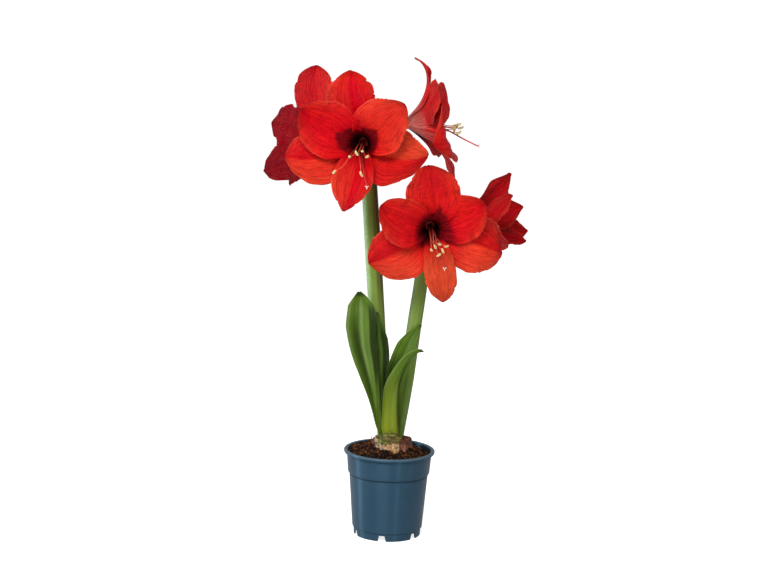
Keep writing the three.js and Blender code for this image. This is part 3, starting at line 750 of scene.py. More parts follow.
def soil_finish():
    """Coir and peat: dark brown, with rusty crumbs and fibres, black ones, and near-black patches
    painted as shade in hollows.
    """
    made, tree, shader, _ = material("potting soil", Roughness=0.85, Specular_IOR_Level=0.2)
    c, seed = SOIL_COLOURS, tree.mark("seed")
    mottle = tree.group(MOTTLE, {"Vector": tree.place(), "Scale": 420.0})
    patches, specks = mottle["Patches"], mottle["Specks"]
    # painted shade: near-black patches where the hollows between crumbs lie in shade
    hollows = tree.remap(tree.noise(tree.place(), 120.0, 3.0, 0.6), 0.42, 0.56, 0.85, 0.0)
    colour = tree.over(
        tree.mix(patches, c["peat"], c["coir"]),
        (tree.remap(seed, 0.62, 0.86), tree.mix(specks, c["rust"], c["bright rust"])),
        (tree.remap(seed, 0.2, 0.5, 0.92, 0.0), c["black crumb"]),
        (hollows, c["hollow"]))
    tree.join(colour, shader["Base Color"])
    tree.join(tree.bump(tree.plus(patches, specks), 1.0, 0.0015), shader["Normal"])
    return made


# inside and ledge are painted shade, and lip is a painted highlight
PLASTIC_COLOURS = {
    "blue": (0.020, 0.050, 0.082), "light blue": (0.024, 0.056, 0.090),
    "dust": (0.10, 0.15, 0.18), "inside": (0.004, 0.009, 0.014),
    "ledge": (0.004, 0.010, 0.016), "lip": (0.13, 0.19, 0.23),
}


def plastic_finish():
    """Moulded blue plastic. Its fine turned lines draw highlights out up and down the wall."""
    made, tree, shader, _ = material("pot plastic", Specular_IOR_Level=0.5, Anisotropic=0.95,
                                     Anisotropic_Rotation=0.25,
                                     Specular_Tint=(0.40, 0.74, 1.0, 1))
    c, mottle = PLASTIC_COLOURS, tree.group(MOTTLE, {"Vector": tree.place(), "Scale": 22.0})
    turned_lines = tree.noise(tree.scaled_place(1.0, 1.0, 9.0), 90.0, 3.0, 0.6)
    colour = tree.over(
        tree.mix(mottle["Patches"], c["blue"], c["light blue"]),
        (tree.remap(turned_lines, 0.55, 0.8, 0.0, 0.06), c["dust"]),
        # painted shade inside the wall and under the band's ledge, and a painted highlight on the
        # lip
        *((tree.mark(mark), c[mark]) for mark in ("inside", "ledge", "lip")))
    tree.join(colour, shader["Base Color"])
    rough = tree.plus(tree.remap(turned_lines, 0.3, 0.7, 0.38, 0.42),
                      tree.times(mottle["Specks"], 0.03))
    rough = tree.plus(rough, tree.times(tree.mark("ledge"), 0.55))
    tree.join(rough, shader["Roughness"])
    tree.join(tree.bump(turned_lines, 0.05, 0.0004), shader["Normal"])
    return made


PETAL = petal_finish()
LEAF = blade_finish()
STEM = stem_finish()
FILAMENT = thread_finish("filament", foot=(0.12, 0.002, 0.004), end=(0.95, 0.16, 0.085))
STYLE = thread_finish("style", foot=(0.12, 0.003, 0.006), end=(0.66, 0.035, 0.035))
STIGMA = thread_finish("stigma", foot=(0.80, 0.45, 0.40), end=(0.92, 0.78, 0.70))
ANTHER = pollen_finish()
SKIN = skin_finish()
SOIL = soil_finish()
PLASTIC = plastic_finish()


# ---- tepals ---------------------------------------------------------------------------------

# Millimetres and degrees. foot: how far from the flower's axis a tepal starts. start: how far it
# leans out there, and flare: where its funnel ends. recurve: how much further its tip curls back,
# and curl_from: where that starts. widest: how far along it is widest. blunt: higher for a fuller
# tip. keel and crease: how deep the middle lies. cup: above 0 hollow, below 0 arched. bend, twist
# and turn: sideways, about its own middle, and round the flower. wave, phase, frill: of its margin.
OUTER = {"foot": 6.4, "start": 14, "widest": 0.62, "blunt": 1.9, "keel": 1.5}
INNER = {"foot": 5.2, "start": 10, "widest": 0.6, "blunt": 2.2, "keel": 1.1}
USUAL = {
    "long": 122, "wide": 34, "flare": 70, "recurve": 32, "curl_from": 0.62, "cup": -0.25,
    "bend": 0, "twist": 0, "wave": 2.2, "phase": 0, "crease": 2.2, "frill": 1.2,
    "nicks": (),
}
FLARE_FROM, FLARE_TO = 0.05, 0.6
BASE_WIDTH, TIP_WIDTH = 5.4, 1.4
TEPAL_RISE = 0.6  # how far up the tube a tepal starts
WAVES = 2.6  # waves along a margin
EDGE_DEPTH, PLEAT_DEPTH = 0.45, 0.42
TEAR = {"count": 3, "deep": 1.6, "long": 0.009}  # small tears that each margin has at random
NICK_LONG = 0.014
STEPS = 60  # straight steps that a tepal's midrib is summed from
TEPAL_ACROSS, TEPAL_ALONG = 40, 72  # faces across and along a tepal


def outer(**given):
    """One of a bloom's three outer tepals, which are wider at the foot."""
    return {**USUAL, **OUTER, **given}


def inner(**given):
    """One of a bloom's three inner tepals."""
    return {**USUAL, **INNER, **given}


def tepal_surface(t, ragged):
    """The tepal as a surface in its flower's frame. ragged: random numbers for its own edge."""

    def lean(v):
        """How far the midrib leans away from the flower's axis."""
        flare = (t["flare"] - t["start"]) * smooth((v - FLARE_FROM) / (FLARE_TO - FLARE_FROM))
        curl = np.maximum(0, (v - t["curl_from"]) / (1 - t["curl_from"])) ** 1.5
        return np.radians(t["start"] + flare + t["recurve"] * curl)

    step = t["long"] / STEPS
    middles = (np.arange(STEPS) + 0.5) / STEPS
    reach = np.concatenate([[0], np.cumsum(step * np.sin(lean(middles)))]) + t["foot"]
    depth = np.concatenate([[0], np.cumsum(step * np.cos(lean(middles)))]) + TEPAL_RISE
    walked = np.linspace(0, 1, STEPS + 1)

    def half_width(v):
        """Half the tepal's width: it swells to its widest place, then closes to its tip."""
        rise = BASE_WIDTH + (t["wide"] - BASE_WIDTH) * smooth(v / t["widest"])
        past = np.clip((v - t["widest"]) / (1 - t["widest"]), 0, 1)
        fall = TIP_WIDTH + (t["wide"] - TIP_WIDTH) * (1 - past ** t["blunt"]) ** t["round"]
        return np.where(v < t["widest"], rise, fall)

    def nibbled(u, v):
        """How far the margin is drawn in: by waves, by small tears and by the nicks given."""
        near = smooth((np.abs(u) - 0.55) / 0.45)
        side = np.where(u > 0, 0.0, 1.7)
        waves = np.sin(17 * v + ragged[0] + side) + 0.6 * np.sin(41 * v + ragged[1] + 2 * side)
        drawn = EDGE_DEPTH * waves
        for k in range(TEAR["count"]):
            middle = 0.62 + 0.33 * ragged[2 + k] / (2 * math.pi)
            on_side = np.where((u > 0) == (ragged[5 + k] > math.pi), 1.0, 0.0)
            drawn = drawn + TEAR["deep"] * on_side * bell(v, middle, TEAR["long"])
        for on_side, middle, deep in t["nicks"]:
            drawn = drawn + deep * (u * on_side > 0) * bell(v, middle, NICK_LONG)
        return near * drawn * smooth((v - 0.3) / 0.3)

    def with_relief(lift, u, v, s, far):
        """How far the face lifts, with its keel, waves, frills and pleats, and its crease."""
        lift = lift - t["keel"] * far * (1 - v * v) * bell(s, 0, 5)
        ripple = np.sin(2 * math.pi * (WAVES * v + t["phase"]) + np.where(u > 0, 0, 2.1))
        lift = lift + t["wave"] * far * np.abs(u) ** 2.5 * ripple
        frill = np.sin(29 * v + ragged[0] + np.sign(u)) + 0.5 * np.sin(53 * v + ragged[1])
        lift = lift + t["frill"] * far * np.abs(u) ** 3 * frill
        pleats = np.sin(11 * u + ragged[6]) + 0.6 * np.sin(24 * u + ragged[7] + 2 * v)
        flatter = smooth((v - 0.12) / 0.4) * (1 - 0.6 * np.abs(u) ** 3)
        lift = lift + PLEAT_DEPTH * flatter * pleats
        fold = t["crease"] * smooth((v - 0.25) / 0.35) * np.sqrt(np.maximum(0, 1.02 - v))
        return lift - fold * np.exp(-np.abs(s) / (3.5 + t["crease"]))

    def surface(u, v):
        """The point at u across, from -1 to 1, and v along, from 0 to 1."""
        angle = lean(v)
        rho = np.interp(v, walked, reach)
        s = u * half_width(v) - np.sign(u) * nibbled(u, v)
        far = smooth((v - 0.35) / 0.45)
        curve = np.cos(angle) / rho + far * t["cup"] / t["wide"]
        curve = np.where(np.abs(curve) < 1e-6, 1e-6, curve)
        side = np.sin(curve * s) / curve
        lift = with_relief((1 - np.cos(curve * s)) / curve, u, v, s, far)
        spin = np.radians(t["twist"]) * v * v
        side, lift = (side * np.cos(spin) - lift * np.sin(spin),
                      side * np.sin(spin) + lift * np.cos(spin))
        turn = np.radians(t["turn"] + t["bend"] * v * v)
        out = rho - lift * np.cos(angle)
        return np.stack([out * np.cos(turn) - side * np.sin(turn),
                         out * np.sin(turn) + side * np.cos(turn),
                         np.interp(v, walked, depth) + lift * np.sin(angle)], -1)

    return surface


def tube_profile():
    """The short tube that the tepals of a bloom grow from, as (radius, height)."""
    wall, thick = 7.4, 2.8
    arc = np.linspace(0, math.pi, 9)
    lip = [(wall - thick / 2 + thick / 2 * math.cos(a), 3.4 + 0.8 * math.sin(a)) for a in arc]
    return [(0.0, 0.0), (wall - thick, 0.0), (wall, 0.0)] + lip + [(0.0, 3.0)]


# ---- blooms ---------------------------------------------------------------------------------

# at: the foot of the tube. left and down: degrees that the bloom faces away from the front.
# depth: painted shade, from 0 scarlet to 1 crimson, darker on tepals that lie in shade. warmth: how
# orange a tepal is, partly its own orange and partly painted sheen. blush: how pale the outside of
# the funnel is. round: 1 for pointed tips, less for rounder ones. throat: how far out the maroon
# star reaches; star and throat are partly their own maroon and partly painted shade. soft: how
# blurred its edge is. point: how much less far it reaches at a tepal's margins. lean: how much
# warmer one half of a tepal is than the other, the other half darker: painted light and shade.
# nicks: which side, how far along and how deep. ends and stigma: where the filaments and the
# style end, to the bloom's right, up and out.
BLOOMS = {
    "tall_front": {
        "at": (-45, -22, 520), "left": 6, "down": 2, "depth": 0.0, "blush": 0.4,
        "round": 0.72, "throat": 0.33, "soft": 0.025,
        "tepals": [
            outer(turn=104, long=117, wide=32.5, flare=73, recurve=48, bend=-6, blunt=2.3,
                  warmth=0.06, throat=0.38, soft=0.1, lean=0.08,
                  nicks=[(-1, 0.86, 2.6), (-1, 0.66, 1.4)]),
            outer(turn=205, long=118, wide=34.5, flare=72, recurve=50, bend=-14, blunt=2.2,
                  warmth=0.2, crease=5, lean=0.2),
            outer(turn=-24, long=109, wide=38.5, flare=72, recurve=6, bend=19, twist=-18,
                  widest=0.57, blunt=1.4, warmth=0.42, crease=5, lean=0.34),
            inner(turn=154, long=116, wide=37, flare=61, recurve=6, bend=-7, twist=-7, blunt=2,
                  throat=0.51, point=0.22, warmth=0, crease=3),
            inner(turn=43, long=112, wide=36.4, flare=59, recurve=26, twist=-16, widest=0.55,
                  blunt=1.9, warmth=0.32, throat=0.47, point=0.17, crease=3.5,
                  nicks=[(-1, 0.93, 3.0), (1, 0.84, 1.6)]),
            inner(turn=264, long=114, wide=26.3, flare=56, recurve=30, bend=-4, twist=14,
                  round=0.9, warmth=0.12, throat=0.26, crease=5, lean=-0.2),
        ],
        "ends": [(0, -7, 67), (7, -4, 69), (-8, -11, 72), (13, -11, 66), (-26, -30, 78),
                 (8, -31, 80)],
        "stigma": (16, -46, 84),
    },
    "tall_left": {
        "at": (-64, 22, 517), "left": 54, "down": 2, "depth": 0.3, "blush": 0.3,
        "round": 0.72, "throat": 0.4, "soft": 0.05,
        "tepals": [
            outer(turn=95, long=120, wide=38.5, flare=77, recurve=24, bend=-7, twist=23, cup=0,
                  warmth=0, lean=-0.12),
            outer(turn=208, long=134, wide=26, flare=68, recurve=22, bend=-3, depth=1,
                  crease=3.5),
            outer(turn=-30, long=92, wide=25, flare=34, recurve=10, depth=1),
            inner(turn=160, long=118, wide=32.6, flare=65, recurve=37, bend=6, twist=4,
                  depth=0.95, frill=2.6,
                  nicks=[(-1, 0.82, 2.6), (-1, 0.66, 2.2), (-1, 0.93, 2.0), (1, 0.88, 2.4)]),
            inner(turn=28, long=92, wide=25, flare=30, recurve=10, depth=0.8),
            inner(turn=227, long=107, wide=15, flare=58, recurve=55, bend=2, twist=6, depth=1),
        ],
        "ends": [(-6, -8, 60), (2, -6, 63), (-10, -11, 64), (8, -11, 61), (-9, -16, 68),
                 (4, -17, 70)],
        "stigma": (-4, -26, 80),
    },
    "tall_right": {
        "at": (9, 22, 541), "left": -82, "down": -10, "depth": 0.0, "blush": 1,
        "round": 1, "throat": 0.36, "soft": 0.05,
        "tepals": [
            outer(turn=95, long=96, wide=25, start=38, flare=64, recurve=84, bend=6, twist=6,
                  curl_from=0.45, widest=0.42, blunt=0.9, cup=0.9, frill=0.3, crease=1),
            outer(turn=204, long=114, wide=42, start=38, flare=37, recurve=135, bend=-6,
                  twist=16, curl_from=0.44, widest=0.56, blunt=1.7, cup=0, frill=0.3, crease=1),
            outer(turn=-50, long=66, wide=26, start=44, flare=58, recurve=24, frill=0.5),
            inner(turn=146, long=94, wide=30, start=34, flare=58, recurve=10, frill=0.3),
            inner(turn=24, long=94, wide=26, flare=67, recurve=40, bend=10, twist=-9, frill=0.5),
            inner(turn=256, long=108, wide=22, start=30, flare=63, recurve=48, twist=-25,
                  frill=0.4),
        ],
        "ends": [(-2, -12, 60), (-3, -10, 67), (-9, -15, 62), (-11, -20, 67), (4, -12, 64),
                 (3, -15, 69)],
        "stigma": (-8, -40, 88),
    },
    "short_front": {
        "at": (42, -24, 417), "left": -5, "down": 9, "depth": 0.0, "blush": 0.4,
        "round": 0.72, "throat": 0.33, "soft": 0.06,
        "tepals": [
            outer(turn=88, long=115, wide=35, flare=73, recurve=8, bend=10, twist=12, blunt=2.3,
                  warmth=0.08),
            outer(turn=215, long=108, wide=38.6, flare=74, recurve=34, bend=-9, twist=-4,
                  warmth=0.32, crease=6, lean=0.26),
            outer(turn=-8, long=118, wide=38.6, flare=79, recurve=62, bend=-8, twist=-20,
                  blunt=1.6, cup=-0.37, warmth=0.3, crease=6, lean=-0.24),
            inner(turn=160, long=106, wide=31.6, flare=64, recurve=25, bend=-10, twist=16,
                  widest=0.57, cup=0, warmth=0.05, throat=0.38, crease=3),
            inner(turn=29, long=101, wide=31.2, flare=67, recurve=5, bend=7, twist=-16,
                  blunt=2.1, warmth=0.03, throat=0.47, crease=3),
            inner(turn=285, long=116, wide=20.5, flare=66, recurve=54, bend=-4, blunt=2.6,
                  warmth=1.1, crease=3),
        ],
        "ends": [(2, -11, 63), (7, -7, 65), (16, -10, 64), (6, -19, 72), (-3, -14, 67),
                 (11, -14, 70)],
        "stigma": (13, -33, 81),
    },
    "short_right": {
        "at": (76, 24, 408), "left": -74, "down": -13, "depth": 0.3, "blush": 0,
        "round": 1, "throat": 0.4, "soft": 0.05,
        "tepals": [
            outer(turn=52, long=103, wide=21, start=26, flare=46, recurve=20, bend=-6, twist=-22,
                  blunt=1.5, cup=0, frill=0.3),
            outer(turn=208, long=98, wide=24, flare=40, recurve=10, frill=0.3),
            outer(turn=-31, long=101, wide=22.4, flare=44, recurve=3, bend=8, twist=-10, frill=0.3),
            inner(turn=151, long=102, wide=19, flare=29, recurve=8, bend=-11, frill=0.3),
            inner(turn=19, long=92, wide=21.6, flare=23, recurve=5, bend=-5, frill=0.3),
            inner(turn=296, long=94, wide=15.6, flare=32, recurve=7, bend=14, twist=7, frill=0.3),
        ],
        "ends": [(-5, -10, 58), (-3, -6, 48), (-1, -6, 42), (2, -6, 50), (3, -8, 45),
                 (0, -3, 46)],
        "stigma": (-4, -11, 56),
    },
}


def bloom_frame(bloom):
    """The bloom's foot, and a turn whose columns are its right, its up and the way it faces."""
    a, d = math.radians(bloom["left"]), math.radians(bloom["down"])
    axis = np.array([-math.sin(a) * math.cos(d), -math.cos(a) * math.cos(d), -math.sin(d)])
    right = unit(np.cross([0, 0, 1], axis))
    return np.array(bloom["at"], float), np.stack([right, np.cross(axis, right), axis], -1)


def tepals(name, bloom, draw):
    """The six tepals of a bloom on their tube."""
    at, turned = bloom_frame(bloom)
    shape = Shape()

    def thin(u, v):
        """Thickness: most along the midrib."""
        return 0.75 - 0.4 * np.abs(u) ** 3

    for k, tepal in enumerate(bloom["tepals"]):
        surface = tepal_surface({"round": bloom["round"], **tepal},
                                draw.uniform(0, 2 * math.pi, 8))
        add_sheet(shape, lambda u, v, s=surface: at + s(u, v) @ turned.T,
                  TEPAL_ACROSS, TEPAL_ALONG, thin,
                  seed=(k + 1) / 7 + draw.uniform(0, 0.05), blush=bloom["blush"],
                  soft=tepal.get("soft", bloom["soft"]))
        marks = shape.marks[-1]
        marks["throat"] = (tepal.get("throat", bloom["throat"])
                           - tepal.get("point", 0) * np.abs(marks["across"]))
        # lean paints one half of a tepal warmer, as if lit, and the other darker crimson, as if
        # shaded; depth is painted shade
        halves = np.clip(marks["across"] / 0.06, -1, 1) * smooth((marks["along"] - 0.3) / 0.3)
        lean = tepal.get("lean", 0) * halves
        marks["depth"] = np.clip(tepal.get("depth", bloom["depth"]) - 0.7 * lean, 0, 1)
        marks["warmth"] = np.clip(tepal.get("warmth", 0.05) + lean, 0, 1.2)
    turned_form(shape, tube_profile(), 48, lambda p: at + p @ turned.T, outside=1.0, across=0.3,
                along=0.02, seed=0.5, depth=0.0, blush=bloom["blush"], throat=0.4, soft=0.05)
    return shape.piece(f"{name}_petals", [PETAL], "petal", [f"{name}_tepals"])


# ---- stamens and style ----------------------------------------------------------------------

# foot: radius of the collar that joins the filaments. ring: radius of the circle they grow on.
# filament and style: their own radii.
STAMEN = {"foot": 3.4, "ring": 2.3, "filament": 0.85, "style": 1.15}
ANTHER_SIZE = {"half_length": 4.0, "radius": 1.7, "bow": 0.9}
STIGMA_LOBE = {"out": 2.5, "up": 4.2, "radius": 0.9}
STAMEN_MATERIALS = [FILAMENT, STYLE, ANTHER, STIGMA]
ON_FILAMENT, ON_STYLE, ON_ANTHER, ON_STIGMA = range(len(STAMEN_MATERIALS))


def filament_curve(end, root, sag):
    """A filament's line. sag: how far it hangs down before it turns up to its end."""
    x, y, z = end
    middle = (x * 0.2 + root[0] * 1.3, y * 0.2 - 2 + root[1] * 1.3, z * 0.48)
    late = (x * 0.68, y * 0.72 - sag, z * 0.83)
    return evenly(through([root, middle, late, end], weighed=True))


def anther(shape, end, k, to_world):
    """A curved anther of two lobes, hinged at its middle on the filament's end."""
    bow = np.linspace(-1, 1, 15)
    spine = np.stack([0 * bow, ANTHER_SIZE["half_length"] * bow,
                      -ANTHER_SIZE["bow"] * bow * bow + 0.2], -1)
    swell = ANTHER_SIZE["radius"] * np.sqrt(np.maximum(0, 1 - bow**4)) + 0.12
    tilt = 1 + 0.5 * math.cos(1.7 * k)
    roll = 0.9 * math.sin(2.3 * k)
    turn = Matrix.Rotation(roll, 3, "Y") @ Matrix.Rotation(tilt, 3, "X")
    line = spine @ np.array(turn).T + np.array(end)
    tube(shape, to_world(line), swell, 14, paint=ON_ANTHER,
         squeeze=lambda t, a: 1 - 0.28 * np.abs(np.cos(a)) ** 6)


def stamens(name, bloom):
    """Six filaments with their anthers, and the style with its three-lobed stigma."""
    at, turned = bloom_frame(bloom)

    def to_world(points):
        """Points of the bloom's own frame, round the pot's axis."""
        return at + np.asarray(points) @ turned.T

    shape = Shape()
    foot = STAMEN["foot"]
    turned_form(shape, [(0, 0), (foot, 0), (foot - 0.2, 2.5), (foot - 1.0, 4.2), (0, 4.6)], 24,
                to_world)
    order = sorted(bloom["ends"], key=lambda e: math.atan2(e[0], -e[1] - 13))
    walk = np.linspace(0, 1, 36)
    for k, end in enumerate(order):
        a = math.radians(-150 + 60 * k)
        root = (STAMEN["ring"] * math.sin(a), -STAMEN["ring"] * math.cos(a), 3)
        line = to_world(filament_curve(end, root, 3)(walk))
        tube(shape, line, STAMEN["filament"] * (0.95 - 0.4 * walk), 8, paint=ON_FILAMENT)
        anther(shape, end, k, to_world)
    line = to_world(filament_curve(bloom["stigma"], (0, 0, 3), 1.5)(walk))
    tube(shape, line, STAMEN["style"] * (1 - 0.25 * walk), 10, paint=ON_STYLE)
    t = np.linspace(0, 1, 10)[:, None]
    for k in range(3):
        a = 2 * math.pi * k / 3 - math.pi / 2
        out = np.array([math.cos(a), math.sin(a), 0])
        up = np.array([0, 0, STIGMA_LOBE["up"]])
        lobe = np.array(bloom["stigma"]) + out * STIGMA_LOBE["out"] * t + up * t * (1 - 0.4 * t)
        tube(shape, to_world(lobe), STIGMA_LOBE["radius"] - 0.5 * t[:, 0] ** 2, 10, paint=ON_STIGMA)
    return shape.piece(f"{name}_filaments", STAMEN_MATERIALS, "stamen", [f"{name}_stamens"])


# ---- stems ----------------------------------------------------------------------------------

SOCKET_FLOOR = 121.5  # height of the floor of the bulb's hollow neck
OVARY = {"radius": 6.3, "length": 17}
PEDICEL_RADIUS = 4.2
STEM_SIDES = 48
CAP_SWELL = 1.06  # how much wider than its shaft a stem's rounded top is

# line and radius: the shaft's middle and its radii, from foot to top. flush: how brown its right
# side is, higher up, partly its own red-brown and partly painted shade. pale: how much grey bloom
# lies on its left side, partly its own and partly painted highlight. blooms: what it carries.
STEMS = {
    "tall": {
        "line": [(-6.9, 6.4, 120.5), (-14.5, 8.5, 205), (-24.8, 8, 325), (-30.3, 7, 390),
                 (-36.5, 5, 462), (-39.5, 4, 496)],
        "radius": [8.2, 10.4, 10.7, 9.9], "flush": 1.0, "pale": 1.0,
        "blooms": ["tall_front", "tall_left", "tall_right"],
    },
    "short": {
        "line": [(9.3, 6.4, 120.5), (17.6, 7, 187), (26.9, 5, 274), (33.5, 4, 330),
                 (39.5, 3, 392)],
        "radius": [7.3, 9.5, 9.4, 8.4], "flush": 0.2, "pale": 0.5,
        "blooms": ["short_front", "short_right"],
    },
}


def pedicel(shape, start, bloom):
    """A flower stalk that ends in the three-lobed ovary under its bloom."""
    at, turned = bloom_frame(bloom)
    axis = turned[:, 2]
    neck = at - axis * OVARY["length"]
    places = [start, (start + neck) / 2, neck, at - axis * GAP]
    line = evenly(through(places, weighed=True))
    walk = np.linspace(0, 1, 60)
    left = (1 - walk) * length_of(line)
    swell = np.where(left < OVARY["length"],
                     np.sin(np.pi * np.clip(left / OVARY["length"], 0, 1)) ** 0.7, 0)
    collar = np.maximum(0, 1 - left / 4)
    radii = PEDICEL_RADIUS + (OVARY["radius"] - PEDICEL_RADIUS) * np.maximum(swell, collar)
    lobes = (lambda t, a: 1 + 0.07 * np.cos(3 * a) * smooth((t - 0.6) / 0.25)
             * (1 - smooth((t - 0.93) / 0.05)))
    tube(shape, line(walk), radii, 30, squeeze=lobes, along=0.6, flush=0.0)


def stem(name, given):
    """One stem: its shaft, its rounded top and the stalks of its blooms, in one body."""
    shape = Shape()
    line = evenly(through(given["line"]))
    walk = np.linspace(0, 1, 90)
    radii = np.interp(walk, np.linspace(0, 1, len(given["radius"])), given["radius"])
    points = line(walk)
    top_radius = given["radius"][-1] * CAP_SWELL
    rise = np.linspace(0.1, math.pi / 2, 10)
    up = unit(points[-1] - points[-2])
    cap = points[-1] + up * (top_radius * np.sin(rise))[:, None] * 0.94
    whole = np.vstack([points, cap])
    reach = np.concatenate([radii, np.maximum(top_radius * np.cos(rise), 0.3) / CAP_SWELL])
    sides = STEM_SIDES
    along = np.clip((whole[:, 2] - SOCKET_FLOOR) / (given["line"][-1][2] - SOCKET_FLOOR), 0, 1)
    tube(shape, whole, reach, sides,
         squeeze=lambda t, a: 1 + 0.012 * np.cos(5 * a) + 0.006 * np.cos(11 * a + 4 * t),
         along=on_rings(along, sides), flush=0.0)
    body = shape.points[-1]
    body[:, 2] = np.maximum(body[:, 2], SOCKET_FLOOR + GAP)
    to_right = body[:, 0] - on_rings(whole[:, 0], sides, whole[[0, -1], 0])
    lean = to_right / on_rings(reach, sides, (1, 1))
    marks = shape.marks[-1]
    # the right side's red-brown is partly the stem's own and partly painted shade; the left side's
    # grey bloom is partly its own and partly painted highlight
    marks["flush"] = (given["flush"] * smooth((lean + 0.05) / 0.7)
                      * smooth((marks["along"] - 0.25) / 0.45))
    marks["pale"] = (given["pale"] * smooth((-lean - 0.35) / 0.6)
                     * smooth((marks["along"] - 0.2) / 0.4))
    start = line(np.array(0.985))
    for bloom in given["blooms"]:
        pedicel(shape, start, BLOOMS[bloom])
    return shape.piece(f"{name}_flower_stem", [STEM], "stem", [f"{name}_stem"])


# ---- leaves ---------------------------------------------------------------------------------

# line: the midrib. faces: the way the upper face looks. wide: half widths. fold: degrees that
# its sides fold towards that face. young: how yellow-green its foot is. shade and shine: where
# its green is darkest and lightest, at u across (-1 to 1) and v along (0 to 1).
LEAVES = {
    "leaf_left": {
        "line": [(-10.5, -8, 122.2), (-12.2, -8.5, 134), (-17.8, -9.5, 151), (-25.2, -13, 189),
                 (-33, -16, 223), (-39.8, -19, 252), (-42.8, -20, 277), (-43, -16, 298),
                 (-43.8, -8, 313), (-45.5, 1, 322)],
        "faces": [(0.5, -0.9, 0.2), (0.4, -0.9, 0.2), (0.25, -1, 0.3), (0.1, -1, 0.6)],
        "wide": [3, 3.8, 6.8, 12.2, 17.6, 21.2, 22.8, 24.4, 20, 2.4],
        "fold": [50, 46, 40, 32, 22], "young": 0.1,
        "shade": lambda u, v: np.clip(
            0.8 * bell(u, 0.38 - 0.35 * (0.9 - v), 0.22) * hump(v, 0.12, 0.35, 0.7, 0.92)
            + 0.97 * smooth((-u - 0.5) / 0.14) * hump(v, 0.25, 0.5, 0.86, 0.93)
            + 0.85 * smooth((v - 0.95) / 0.03), 0, 1),
        "shine": lambda u, v: np.clip(
            0.9 * bell(u, -0.02 - 0.25 * (0.9 - v), 0.16) * hump(v, 0.3, 0.6, 0.9, 0.97)
            + 0.6 * bell(u, 0.86, 0.1) * hump(v, 0.4, 0.6, 0.9, 0.97)
            + 0.35 * bell(u, -0.5, 0.12) * hump(v, 0.1, 0.3, 0.8, 0.9), 0, 1),
    },
    "leaf_left_inner": {
        "line": [(-5.5, -6, 122), (-10.5, -6.6, 163), (-10.8, -5.6, 216), (-11.6, -5.6, 248),
                 (-18, -5.8, 284), (-21.5, -4, 297)],
        "faces": [(0.8, -0.4, 0.2), (-0.05, -1, 0.2), (-0.4, -0.95, 0.3)],
        "wide": [3.4, 3.8, 6, 9.3, 9.4, 1.8],
        "fold": [45, 45, 28, 25], "young": 0.0,
        "shade": lambda u, v: np.clip(
            0.28 + 0.8 * smooth((-u + 0.35) / 0.45) * hump(v, 0.26, 0.45, 0.8, 0.94)
            + 0.5 * smooth((u - 0.65) / 0.2), 0, 1),
        "shine": lambda u, v: 0.4 * bell(u, 0.35, 0.16) * hump(v, 0.1, 0.4, 0.9, 1.0),
    },
    "leaf_right": {
        "line": [(6, -6, 122), (6, -7.5, 154), (7.8, -9.6, 200), (12.2, -10.1, 232),
                 (22.1, -10.8, 261), (36, -10, 283)],
        "faces": [(-0.2, -1, 0.1), (-0.3, -1, 0.1), (-0.25, -1, 0.3), (-0.2, -0.8, 0.6)],
        "wide": [6, 9, 14.3, 19, 15.2, 1.8],
        "fold": [8, 25, 35, 20], "young": 0.25,
        "shade": lambda u, v: np.clip(
            0.85 * smooth((u + 0.2) / 0.5) * hump(v, 0.2, 0.4, 0.58, 0.76)
            + 0.6 * smooth((-u - 0.1) / 0.5) * hump(v, 0.02, 0.2, 0.5, 0.7), 0, 1),
        "shine": lambda u, v: 0.35 * bell(u, -0.15, 0.14) * hump(v, 0.5, 0.65, 0.9, 1.0),
    },
    "leaf_front": {
        "line": [(3, -15, 122.6), (-0.5, -17.5, 149), (-0.5, -19.5, 186), (3.4, -22.5, 209),
                 (17, -26.5, 237), (30, -31, 250.5), (39, -35, 253.5)],
        "faces": [(0.05, 1, 0), (0.1, 1, 0.05), (-0.2, 0.85, 0.55), (-0.2, 0.7, 0.7)],
        "wide": [9, 12.6, 11.8, 11.6, 9.6, 7.6, 3.4],
        "fold": [20, 24, 25, 30, 20], "young": 0.9,
        "shade": lambda u, v: np.clip(
            0.8 * smooth((u - 0.62) / 0.3) * hump(v, 0.05, 0.2, 0.7, 0.85)
            + 0.25 * smooth((-u - 0.5) / 0.3) * hump(v, 0.05, 0.2, 0.5, 0.7), 0, 1),
        "shine": lambda u, v: (0.5 * bell(u, -0.85, 0.12) * hump(v, 0.4, 0.6, 0.9, 1.0)
                               + 0.3 * bell(u, 0.25 + 0.4 * v, 0.14) * hump(v, 0.0, 0.1, 0.4, 0.7)),
    },
}


KEEL_WIDTH = 0.05  # share of a leaf's half width over which its two sides meet in a round keel
LEAF_ACROSS, LEAF_ALONG = 30, 120  # faces across and along a leaf


def leaf_surface(given):
    """A strap leaf: its sides fold towards the face it looks with, and ribs run its length."""
    line = evenly(through(given["line"]))
    looks = through(given["faces"])
    count = len(given["wide"])

    def surface(u, v):
        """The point at u across, from -1 to 1, and v along, from 0 to 1."""
        tangent = unit(line(np.minimum(v + SMALL_STEP, 1)) - line(np.maximum(v - SMALL_STEP, 0)))
        side = unit(np.cross(tangent, looks(v)))
        face = np.cross(side, tangent)
        wide = np.interp(v, np.linspace(0, 1, count), given["wide"])
        fold = np.interp(v, np.linspace(0, 1, len(given["fold"])), given["fold"])
        away = np.sqrt(u * u + KEEL_WIDTH**2) - KEEL_WIDTH
        s, bow = away * wide, np.radians(fold)
        reach = np.sign(u) * s * np.cos(bow * 0.5 * (1 + away))
        lift = s * np.sin(bow * 0.5 * (1 + 0.4 * away))
        lift = lift + 0.18 * np.sin(26 * u) * smooth(v / 0.2)
        return line(v) - side * reach[..., None] + face * lift[..., None]

    return surface


